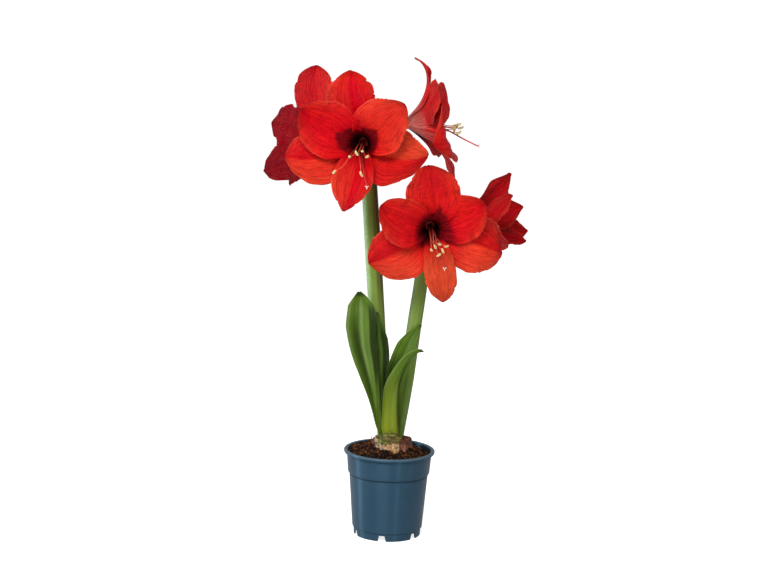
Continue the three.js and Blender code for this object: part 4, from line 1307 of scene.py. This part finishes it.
def leaf(name, given, k):
    """One leaf, thinner towards its margins. k: its number, which shifts its veins."""
    shape = Shape()
    add_sheet(shape, leaf_surface(given), LEAF_ACROSS, LEAF_ALONG,
              lambda u, v: 1.5 - 0.8 * np.abs(u) ** 3, seed=0.13 + 0.21 * k,
              young=given["young"])
    marks = shape.marks[-1]
    for key in ("shade", "shine"):
        marks[key] = given[key](marks["across"], marks["along"])
    return shape.piece(f"{name}_blade", [LEAF], "leaf", [name])


# ---- bulb -----------------------------------------------------------------------------------

BULB_AT = np.array([2.5, 0.0, 0.0])
SOCKET_RADIUS = 21.4  # of the neck's hollow, which the leaves and stems stand in
NECK_TOP = 133.2
BULB_SIDES = 96
ROOTS = {"count": 5, "first_turn": 0.3, "radius": 2.1, "taper": 0.9}
# radius and height, from the base to the rim of the neck
BULB_PROFILE = [(0, 34), (15, 35), (23, 41), (33, 54), (38, 71), (36.5, 86), (31, 101),
                (27, 113), (24.4, 124), (23.2, 132.5)]


def bulb_swell(a, z):
    """How much the bulb is swollen, unevenly near its neck, at an angle and a height."""
    swell = 1 + smooth((z - 96) / 20) * (0.03 * np.sin(3 * a + 0.6) + 0.025 * np.sin(5 * a + 2))
    return swell + 0.012 * np.sin(9 * a + 0.07 * z) * smooth((z - 60) / 40)


def neck_rise(a):
    """How far the cut scales stand above the neck's usual height: most in front."""
    return 11.5 * bell(a, -1.45, 0.55) - 3.5


def bulb_skin(points):
    """The bulb's outside: swollen near its neck, whose rim stands highest in front."""
    r = np.hypot(points[:, 0], points[:, 1])
    a = np.arctan2(points[:, 1], points[:, 0])
    z = points[:, 2]
    outside = r > SOCKET_RADIUS + 0.1
    swell = np.where(outside, bulb_swell(a, z), 1)[:, None]
    moved = points * np.concatenate([swell, swell, np.ones_like(swell)], -1)
    moved[:, 2] += np.where(outside & (z > 128), neck_rise(a), 0)
    return moved + BULB_AT


def roots(shape):
    """Short thick roots that spread from the base of the bulb, round the pot's axis."""
    for k in range(ROOTS["count"]):
        a = 2 * math.pi * (k + ROOTS["first_turn"]) / ROOTS["count"]
        far = 30 + 3 * math.sin(5 * k)
        knots = [(12, 40), (17, 30), (24, 23), (far, 17)]
        line = evenly(through([(r * math.cos(a), r * math.sin(a), z) for r, z in knots],
                              weighed=True))
        walk = np.linspace(0, 1, 24)
        tube(shape, line(walk), ROOTS["radius"] - ROOTS["taper"] * walk, 12, tone=0.0, bottom=1.0)


def bulb_piece():
    """The bulb with its hollow neck: rusty on its right, papery on its left, and its roots."""
    shape = Shape()
    rise = through(BULB_PROFILE)(np.linspace(0, 1, 60))
    rise[0, 0] = 0.0
    socket = [(SOCKET_RADIUS + 0.2, NECK_TOP), (SOCKET_RADIUS, SOCKET_FLOOR), (8.0, SOCKET_FLOOR)]
    profile = np.vstack([rise[1:], socket])
    heights = profile[:, 1]
    low = on_rings(1 - smooth((heights - 40) / 20), BULB_SIDES, (1, 0))
    turn = all_round(BULB_SIDES)
    rusty = np.append(np.tile(0.45 * smooth((np.cos(turn) + 0.1) / 0.5), len(profile)), [0, 0])
    papery = np.append(np.tile(0.5 * smooth((-np.cos(turn) - 0.3) / 0.4), len(profile)), [0, 0])
    turned_form(shape, profile, BULB_SIDES, bulb_skin, tone=rusty, pale=papery, bottom=low)
    roots(shape)
    return shape.piece("bulb_body", [SKIN], "bulb_skin", ["bulb"])


SOIL_LINE = 112.0  # where the skins and dry tips come out of the soil


def skin(turn, rim, out, teeth, foot=(SOIL_LINE,) * 3, tone=0.0, pale=0.0):
    """One scale or skin round the neck, as a row of NECK_SKINS.

    turn: degrees round the bulb, -90 in front. rim and foot: heights of its upper and lower ends,
    from its left to its right. out: how far it stands off the bulb at its foot and its rim. teeth:
    how ragged its rim is. tone: 0 tan, 0.5 red-brown, 1 olive. pale: how papery white.
    """
    return {"turn": turn, "rim": rim, "out": out, "teeth": teeth, "foot": foot, "tone": tone,
            "pale": pale}


# turn, rim, out and teeth, and then what is unusual
NECK_SKINS = [
    skin((-131, -70), (136.5, 139.5, 141, 142, 138.5), (1.2, 1.8), 0.9, foot=(127, 126, 126),
         tone=0.9),
    skin((-116, -56), (134.5, 137.5, 136.5, 138.5, 136), (2.6, 2.9), 1.2, foot=(129, 128, 128),
         tone=0.75),
    skin((-134, -98), (130, 132.5, 131.5), (2.6, 2.8), 1.2, foot=(123, 123, 124), tone=1.0),
    skin((-118, -88), (125, 128.5, 127), (2.8, 2.6), 1.4, foot=(113, 113, 113), pale=0.1),
    skin((-96, -66), (127, 129.5, 128), (3.2, 2.8), 1.4, foot=(113, 113, 113), tone=0.06),
    skin((-86, -70), (120.5, 123.5, 122), (4.0, 3.8), 1.6),
    skin((-156, -124), (122, 125.5, 126.5, 125), (2.0, 1.2), 1.4, foot=(113, 114, 115), tone=0.35,
         pale=0.15),
    skin((-138, -112), (121, 126, 128, 124), (3.4, 2.2), 2.0, foot=(112.5, 113, 115), tone=0.08,
         pale=0.5),
    skin((-142, -125), (121, 125, 122), (4.2, 3.0), 1.8, pale=0.95),
    skin((-122, -106), (119, 122, 119), (4.4, 3.4), 1.8, pale=0.9),
    skin((-68, -20), (134, 135, 131, 126.5, 123), (2.2, 1.2), 0.6, tone=0.5),
    skin((-62, -38), (126, 128, 124), (3.2, 2.6), 1.2, foot=(116, 114, 113), tone=0.42, pale=0.05),
    skin((-24, 74), (128, 130, 129, 127, 124), (1.7, 1.0), 1.0, tone=0.5, pale=0.05),
    skin((58, 142), (123, 126, 127, 126, 123), (2.0, 1.1), 1.2, tone=0.1, pale=0.25),
    skin((128, 208), (123, 126, 125, 127, 124), (1.6, 0.9), 1.1, tone=0.45, pale=0.1),
]
DRY_TIPS = [(-23.5, -4, 133, -0.6), (-21.5, -8, 130, 1.2)]  # right, back, height, slant


def neck_skin(given, ragged):
    """A scale or a skin that lies round the bulb, with a torn rim and fine wrinkles."""
    low, high = np.radians(given["turn"])
    foot, rim = (through(given[key]) for key in ("foot", "rim"))
    heights, radii = np.array(BULB_PROFILE)[::-1].T[::-1]

    def surface(u, v):
        """The point at u across, from -1 to 1, and v up, from 0 to 1."""
        share = (u + 1) / 2
        a = low + (high - low) * share
        torn = 0.8 * np.sin(13 * share + ragged[0]) + 0.7 * np.sin(43 * share + ragged[1])
        torn = torn + 0.6 * np.sin(97 * share + ragged[2]) * np.sin(7 * share + ragged[3])
        top = rim(share)[..., 0] + 0.6 * given["teeth"] * torn
        z = foot(share)[..., 0] * (1 - v) + top * v
        flat_z = np.minimum(z, NECK_TOP)
        r = np.interp(-flat_z, -heights, radii) * bulb_swell(a, flat_z)
        out, rise = given["out"]
        creases = np.sin(19 * share + 3 * v + ragged[3]) + 0.6 * np.sin(43 * share + ragged[4])
        bulges = np.sin(9 * share + ragged[5]) * np.sin(3.2 * v + ragged[6])
        ends = 1 - np.abs(u) ** 6
        r = r + (out * (1 - v) + rise * v) * (0.25 + 0.75 * ends)
        r = r + 0.3 * given["teeth"] * creases * v * ends + 0.8 * bulges * ends
        return BULB_AT + np.stack([r * np.cos(a), r * np.sin(a), z], -1)

    return surface


def neck_skins(draw):
    """The cut scales in front, the papery skins that peel off round them, and two dry tips."""
    shape = Shape()
    for given in NECK_SKINS:
        ragged = draw.uniform(0, 2 * math.pi, 7)
        add_sheet(shape, neck_skin(given, ragged), 64, 20, lambda u, v: 0.7 - 0.35 * v,
                  tone=given["tone"], pale=given["pale"])
        marks = shape.marks[-1]
        sides = 0.5 * smooth((np.abs(marks["across"]) - 0.85) / 0.15)
        torn = 0.8 * smooth((marks["along"] - 0.84) / 0.12)
        marks["edge"] = np.maximum(sides, torn) * (1 - 0.6 * marks["pale"])
    for x, y, top, slant in DRY_TIPS:
        t = np.linspace(0, 1, 12)
        line = np.stack([x + slant * t * t, y + 0 * t, SOIL_LINE + (top - SOIL_LINE) * t], -1)
        tube(shape, line, 1.1 - 0.85 * t, 8, tone=0.4, pale=0.1)
    return shape.piece("neck_skins", [SKIN], "bulb_skin")


# ---- soil -----------------------------------------------------------------------------------

SOIL_TILT = -0.05  # rise for each millimetre to the right
SOIL_HEAP = 3.6  # how high the soil is heaped against the bulb
SOIL_SIDES = 144
# heights of the rings of the soil's hollow round the bulb
HOLLOW_HEIGHTS = (110, 106, 101, 96, 91, 86, 78, 71, 62, 54, 47, 40.5, 34.5)
POT_ROOM = 49.8  # the soil's radius at the foot of the pot's rim band
# radius and height of the soil's top, from the middle to the wall
SOIL_MOUND = [(0, 117.5), (27, 117.5), (33, 115), (40, 112.4), (47, 110.8), (53, 109.6)]


def soil_height(x, y):
    """The top of the soil: a low mound, heaped at the bulb's sides, with lumps and hollows."""
    r = np.hypot(x, y)
    mound = np.interp(r, *np.transpose(SOIL_MOUND))
    rough = (np.sin(1.1 * x + 1.3 * np.sin(0.6 * y)) * np.cos(0.9 * y + 0.3 * x)
             + 0.5 * np.sin(2.3 * x + 1.1 * y) * np.cos(1.9 * y - 1.3 * x))
    edge = 1 - smooth((r - 49) / 4)
    aside = smooth((np.abs(np.degrees(np.arctan2(x - BULB_AT[0], -y))) - 28) / 36)
    heaped = SOIL_HEAP * (0.55 + 0.45 * aside) * bell(np.maximum(r - 27, 0), 0, 7)
    return mound + heaped + SOIL_TILT * x + 0.8 * rough * edge


def soil_body():
    """The filling of the pot, hollow where the bulb sits."""
    sides = SOIL_SIDES
    turn = all_round(sides)
    circle = np.stack([np.cos(turn), np.sin(turn)], -1)
    wall = [(30.0, 9.7), (44.2, 9.7), (POT_ROOM, 81.0), (POT_ROOM + 2.1, 84.7),
            (POT_ROOM + 3.9, 106.0)]
    rows = [np.column_stack([r * circle, np.full(sides, z)]) for r, z in wall]

    def round_bulb(z):
        """A ring just outside the bulb at a height."""
        r = np.interp(z, *np.transpose(BULB_PROFILE)[::-1]) + GAP + 0.1
        return (r * bulb_swell(turn, z))[:, None] * circle + BULB_AT[:2]

    rim, mouth = (POT_ROOM + 3.4) * circle, round_bulb(115.5)
    for share in np.linspace(0, 1, 44):
        ring = rim + share * (mouth - rim)
        rows.append(np.column_stack([ring, soil_height(*ring.T)]))
    for z in HOLLOW_HEIGHTS:
        rows.append(np.column_stack([round_bulb(z), np.full(sides, z)]))
    ends = np.array([[0, 0, 9.7], [BULB_AT[0], 0, 33.6]])
    quads, tris = rings(len(rows), sides)
    shape = Shape()
    shape.add(np.vstack(rows + [ends]), quads, tris, seed=0.3)
    return shape.piece("soil_filling", [SOIL], "soil", ["soil"])


def ball(detail):
    """Points and triangles of a small round lump."""
    made = bmesh.new()
    bmesh.ops.create_icosphere(made, subdivisions=detail, radius=1.0)
    points = np.array([v.co[:] for v in made.verts])
    made.verts.index_update()
    tris = np.array([[v.index for v in f.verts] for f in made.faces])
    made.free()
    return points, tris


CRUMBS = {"count": 5200, "large": 300, "large_size": (0.8, 1.6), "size": (0.3, 0.85),
          "from": 24.0, "to": 52.4}
FIBRES = {"count": 150, "from": 26.0, "to": 50.0, "long": (3, 8), "radius": 0.28}
WALL_RADIUS = 52  # fibres that reach further out would stick in the pot's wall


def somewhere(draw, nearest, furthest):
    """A random place over the soil, spread evenly between two distances from the pot's axis."""
    r = math.sqrt(draw.uniform(nearest**2, furthest**2))
    a = draw.uniform(0, 2 * math.pi)
    return r * math.cos(a), r * math.sin(a)


def crumb(shape, draw, large, lumps):
    """One crumb: a round lump, dented, squashed and turned at random."""
    size = draw.uniform(*CRUMBS["large_size" if large else "size"])
    points, tris = lumps[large]
    x, y = somewhere(draw, CRUMBS["from"], CRUMBS["to"])
    rough = 1 + 0.32 * np.sin(points @ draw.uniform(-5, 5, 3) + draw.uniform(0, 6))
    scale = size * draw.uniform(0.55, 1.0, 3)
    turn = np.array(Matrix.Rotation(draw.uniform(0, math.pi), 3, draw.uniform(-1, 1, 3)))
    lump = (points * rough[:, None] * scale) @ turn.T
    z = soil_height(np.array(x), np.array(y)) + 0.25 * size
    shape.add(lump + [x, y, z], (), tris, seed=draw.uniform(0, 1))


def fibre(shape, draw):
    """One coir fibre, bowed and a little above the soil, unless it would reach into the wall."""
    start_x, start_y = somewhere(draw, FIBRES["from"], FIBRES["to"])
    way, reach = draw.uniform(0, 2 * math.pi), draw.uniform(*FIBRES["long"])
    t = np.linspace(-0.5, 0.5, 8)
    arch = 1 - 4 * t * t
    bow = draw.uniform(-0.25, 0.25) * reach
    x = start_x + reach * (t * math.cos(way)) - bow * arch * math.sin(way)
    y = start_y + reach * (t * math.sin(way)) + bow * arch * math.cos(way)
    if (np.hypot(x, y) >= WALL_RADIUS).any():
        return
    z = soil_height(x, y) + 0.9 + draw.uniform(0, 0.8) * arch
    tube(shape, np.stack([x, y, z], -1), FIBRES["radius"] - 0.1 * np.abs(t), 5,
         seed=draw.uniform(0.6, 1.0))


def crumbs(draw):
    """Loose crumbs and coir fibres over the soil."""
    shape = Shape()
    lumps = {False: ball(1), True: ball(2)}
    for k in range(CRUMBS["count"]):
        crumb(shape, draw, k < CRUMBS["large"], lumps)
    for _ in range(FIBRES["count"]):
        fibre(shape, draw)
    return shape.piece("soil_crumbs", [SOIL], "soil")


# ---- pot ------------------------------------------------------------------------------------

# Millimetres. rim, shoulder and foot: outer radii. wall and foot_wall: how thick. band: how far
# the rim band stands out from the wall below it. The others are heights.
POT = {
    "height": 114, "rim": 60, "shoulder": 51.7, "shoulder_height": 80.6, "foot": 44,
    "foot_height": 10, "foot_wall": 1.6, "floor": 8, "wall": 1.3, "band": 2.1,
}
# The foot's notches. turn: degrees of the first. top and foot: how wide each is up there and
# down there.
NOTCH = {"count": 6, "turn": -8.3, "height": 8, "top": 7, "foot": 10.6}
DRAIN_HALF_WIDTH = 3.5
POT_SIDES = 180
SHARP_EDGE = 32  # degrees between two faces from which their edge is drawn sharp


def rounded(corners):
    """A closed outline with its corners rounded. Each corner: radius out, height, rounding."""
    points = []
    count = len(corners)
    for k, (r, z, soft) in enumerate(corners):
        here = np.array([r, z], float)
        if soft == 0:
            points.append(here)
            continue
        before = np.array(corners[(k - 1) % count][:2], float) - here
        after = np.array(corners[(k + 1) % count][:2], float) - here
        cut = min(soft, 0.45 * np.linalg.norm(before), 0.45 * np.linalg.norm(after))
        start = here + cut * before / np.linalg.norm(before)
        finish = here + cut * after / np.linalg.norm(after)
        for t in np.linspace(0, 1, 5):
            points.append((1 - t) ** 2 * start + 2 * t * (1 - t) * here + t * t * finish)
    return np.array(points)


def pot_outline():
    """The pot's wall as a closed outline: up its outside to the lip, and down its inside."""
    p = POT
    band_foot = p["shoulder"] + p["band"]
    return rounded([
        (0.0, p["floor"], 0), (p["foot"] - p["foot_wall"], p["floor"], 0.3),
        (p["foot"] - p["foot_wall"], 0, 0.4), (p["foot"], 0, 0.4),
        (p["foot"] + 0.6, p["foot_height"] - 1.2, 0.3),
        (p["foot"] + 0.9, p["foot_height"] + 0.1, 0.2),
        (p["foot"] + 2.2, p["foot_height"] + 0.6, 0.5),
        (p["shoulder"], p["shoulder_height"] - 0.8, 0.6),
        (p["shoulder"] - 0.3, p["shoulder_height"] + 1.0, 0.4),
        (p["shoulder"] + 0.5, p["shoulder_height"] + 2.2, 0.3),
        (band_foot, p["shoulder_height"] + 3.2, 0.9),
        (p["rim"] - 4.2, p["height"] - 6.0, 0.6), (p["rim"] - 4.4, p["height"] - 4.6, 0.3),
        (p["rim"] - 0.6, p["height"] - 4.1, 0.7),
        (p["rim"], p["height"] - 1.2, 0.9), (p["rim"] - 1.1, p["height"], 0.7),
        (p["rim"] - 4.4, p["height"], 0.8), (p["rim"] - 5.4, p["height"] - 1.2, 0.8),
        (band_foot - p["wall"], p["shoulder_height"] + 4, 1.0),
        (p["shoulder"] - p["wall"], p["shoulder_height"] + 0.4, 1.0),
        (p["foot"] + 0.8, p["floor"] + p["wall"], 0.8), (0.0, p["floor"] + p["wall"], 0),
    ])


def cutter(corners, low, high, turn):
    """A prism for the foot's notches and holes: an outline in x and z, from y = low to high."""
    made = bmesh.new()
    near = [made.verts.new((x, -low, z)) for x, z in corners]
    far = [made.verts.new((x, -high, z)) for x, z in corners]
    made.faces.new(near)
    made.faces.new(far[::-1])
    for i in range(len(corners)):
        j = (i + 1) % len(corners)
        made.faces.new((near[j], near[i], far[i], far[j]))
    bmesh.ops.transform(made, matrix=Matrix.Rotation(turn, 4, "Z"), verts=made.verts)
    bmesh.ops.transform(made, matrix=Matrix.Translation(PLACE), verts=made.verts)
    bmesh.ops.scale(made, vec=(MM, MM, MM), verts=made.verts)
    bmesh.ops.recalc_face_normals(made, faces=made.faces)
    mesh = bpy.data.meshes.new("cutter")
    made.to_mesh(mesh)
    made.free()
    return bpy.data.objects.new("cutter", mesh)


def pot_piece():
    """The pot, turned, with notches cut in its foot ring and drain holes in its floor."""
    shape = Shape()
    turned_form(shape, pot_outline(), POT_SIDES)
    piece = shape.piece("nursery_pot", [PLASTIC], "pot_plastic", ["pot"])
    tools = bpy.data.collections.new("cutters")
    n, low, side = NOTCH, POT["floor"] - 2, DRAIN_HALF_WIDTH
    top = n["height"] - GAP
    notch = [(-n["foot"] / 2 - 0.5, -1), (n["foot"] / 2 + 0.5, -1), (n["top"] / 2, top),
             (-n["top"] / 2, top)]
    drain = [(-side, low), (side, low), (side, low + 6), (-side, low + 6)]
    for k in range(n["count"]):
        turn = math.radians(n["turn"] + 360 / n["count"] * k)
        for tool in (cutter(notch, POT["foot"] - 10, POT["foot"] + 10, turn),
                     cutter(drain, POT["foot"] - 11.5, POT["foot"] - 4.5, turn)):
            tools.objects.link(tool)
    cut = piece.modifiers.new("notches", "BOOLEAN")
    cut.operand_type = "COLLECTION"
    cut.collection = tools
    cut.operation = "DIFFERENCE"
    cut.solver = "EXACT"
    apply_modifiers(piece)
    for tool in list(tools.objects):
        bpy.data.objects.remove(tool)
    bpy.data.collections.remove(tools)
    mark_pot(piece.data)
    piece.data.shade_smooth()
    piece.data.set_sharp_from_angle(angle=math.radians(SHARP_EDGE))
    return piece


POT_INSIDE = [(9.3, 44.8), (81, 50.4), (84.6, 52.5), (112.8, 54.6)]  # height and radius


def mark_pot(mesh):
    """Marks painted shade on the inside of the wall and on the ledge of the band, and a painted
    highlight along the top of the lip.
    """
    points = np.empty(3 * len(mesh.vertices))
    mesh.vertices.foreach_get("co", points)
    points = points.reshape(-1, 3) / MM - PLACE
    r, z = np.hypot(points[:, 0], points[:, 1]), points[:, 2]
    wall = np.interp(z, *np.transpose(POT_INSIDE))
    inside = smooth((POT["height"] - 0.6 - z) / 1.0) * (r < wall + 0.4) * (z > 9.5)
    lip = 0.45 * (z > POT["height"] - 1.8) * (r > wall + 0.4)
    ledge = 0.55 * (z > POT["shoulder_height"] + 0.4) * (z < POT["shoulder_height"] + 2.9)
    for name, values in (("inside", inside), ("lip", lip), ("ledge", ledge)):
        set_mark(mesh, name, values)


def apply_modifiers(piece):
    """Leaves the mesh as its modifiers make it."""
    bpy.context.view_layer.update()
    seen = piece.evaluated_get(bpy.context.evaluated_depsgraph_get())
    mesh = bpy.data.meshes.new_from_object(seen)
    piece.modifiers.clear()
    piece.data = mesh


# ---- camera, lights and floor ---------------------------------------------------------------

IMAGE_WIDTH = 772
FOCUS_PIXELS = 1871.0  # the lens, as a distance in pixels of an image that wide
SENSOR = 36.0
CAMERA_AT = (0, -2400, 720)  # millimetres, round the pot's axis
PITCH, YAW, ROLL = 9.31, -0.26, 1.77  # degrees: down, to the right, and leaning


def camera():
    """Looks at the plant from 2.4 m in front, a little from above."""
    pitch, yaw, roll = (math.radians(angle) for angle in (PITCH, YAW, ROLL))
    ahead = Vector((math.sin(yaw) * math.cos(pitch), math.cos(yaw) * math.cos(pitch),
                    -math.sin(pitch)))
    right = ahead.cross(Vector((0, 0, 1))).normalized()
    up = right.cross(ahead)
    tilted_right = math.cos(roll) * right + math.sin(roll) * up
    tilted_up = -math.sin(roll) * right + math.cos(roll) * up
    data = bpy.data.cameras.new("camera")
    data.sensor_width = SENSOR
    data.lens = SENSOR * FOCUS_PIXELS / IMAGE_WIDTH
    data.clip_end = 100.0
    view = new_object("camera", data)
    turn = Matrix((tilted_right, tilted_up, -ahead)).transposed()
    view.matrix_world = Matrix.Translation(placed(CAMERA_AT)) @ turn.to_4x4()
    bpy.context.scene.camera = view


# place and aim: metres. size: metres across and up. power: watts.
MIDDLE = (0.0, 0.0, 0.33)
SOFTBOXES = {
    "front softbox": {"place": (-0.6, -1.9, 1.9), "aim": (0.0, 0.0, 0.45), "size": (1.4, 1.0),
                      "power": 54.0, "colour": (1, 1, 1)},
    "side softbox": {"place": (-2.0, 0.1, 0.6), "aim": MIDDLE, "size": (0.3, 1.6),
                     "power": 23.0, "colour": (0.72, 0.9, 1.0)},
    "strip softbox": {"place": (1.15, -2.2, 0.7), "aim": MIDDLE, "size": (0.14, 1.4),
                      "power": 10.0, "colour": (0.82, 0.95, 1.0)},
}
FLOOR_REACH = 30.0
# how bright the floor and the background look, and how much light the background gives
FLOOR_GLOW, SKY_GLOW, SKY_LIGHT = 0.8, 0.72, 0.3


def softbox(name, place, aim, size, power, colour):
    """A rectangular lamp at a place, turned to what it aims at."""
    data = bpy.data.lights.new(name, "AREA")
    data.shape = "RECTANGLE"
    data.size, data.size_y = size
    data.energy = power
    data.color = colour
    lamp = new_object(name, data)
    place, aim = Vector(place), Vector(aim)
    lamp.matrix_world = (Matrix.Translation(place)
                         @ (aim - place).to_track_quat("-Z", "Y").to_matrix().to_4x4())


def seen_directly(tree):
    """1 where the picture shows the thing itself, 0 where it only lights other things."""
    return tree.node("ShaderNodeLightPath").outputs["Is Camera Ray"]


def studio():
    """A white sweep, a broad softbox high in front, one at the left and a strip at the right."""
    floor = bpy.data.meshes.new("floor")
    reach = FLOOR_REACH
    floor.from_pydata([(-reach, -reach, 0), (reach, -reach, 0), (reach, reach, 0),
                       (-reach, reach, 0)], [], [(0, 1, 2, 3)])
    ground = new_object("floor", floor)
    paper, tree, shader, _ = material("floor paper", Roughness=0.9, Specular_IOR_Level=0.0,
                                      Base_Color=(0.8, 0.8, 0.8, 1),
                                      Emission_Color=(1.0, 1.0, 1.0, 1))
    tree.join(tree.times(seen_directly(tree), FLOOR_GLOW), shader["Emission Strength"])
    floor.materials.append(paper)
    world = bpy.data.worlds.new("studio")
    world.use_nodes = True
    sky = Tree(world.node_tree)
    background = world.node_tree.nodes["Background"].inputs
    background["Color"].default_value = (1.0, 1.0, 1.0, 1)
    strength = sky.plus(sky.times(seen_directly(sky), SKY_GLOW), SKY_LIGHT)
    sky.join(strength, background["Strength"])
    bpy.context.scene.world = world
    for name, given in SOFTBOXES.items():
        softbox(name, **given)
    view = bpy.context.scene.view_settings
    view.view_transform = "Standard"
    view.look = "None"
    view.exposure = 0.0


# ---- the whole scene ------------------------------------------------------------------------

camera()
studio()
random_draw = np.random.default_rng(41)
pot_piece()
soil_body()
crumbs(random_draw)
bulb_piece()
neck_skins(random_draw)
for stem_name, stem_given in STEMS.items():
    stem(stem_name, stem_given)
for leaf_number, (leaf_name, leaf_given) in enumerate(LEAVES.items()):
    leaf(leaf_name, leaf_given, leaf_number)
for bloom_name, bloom_given in BLOOMS.items():
    tepals(bloom_name, bloom_given, random_draw)
    stamens(bloom_name, bloom_given)
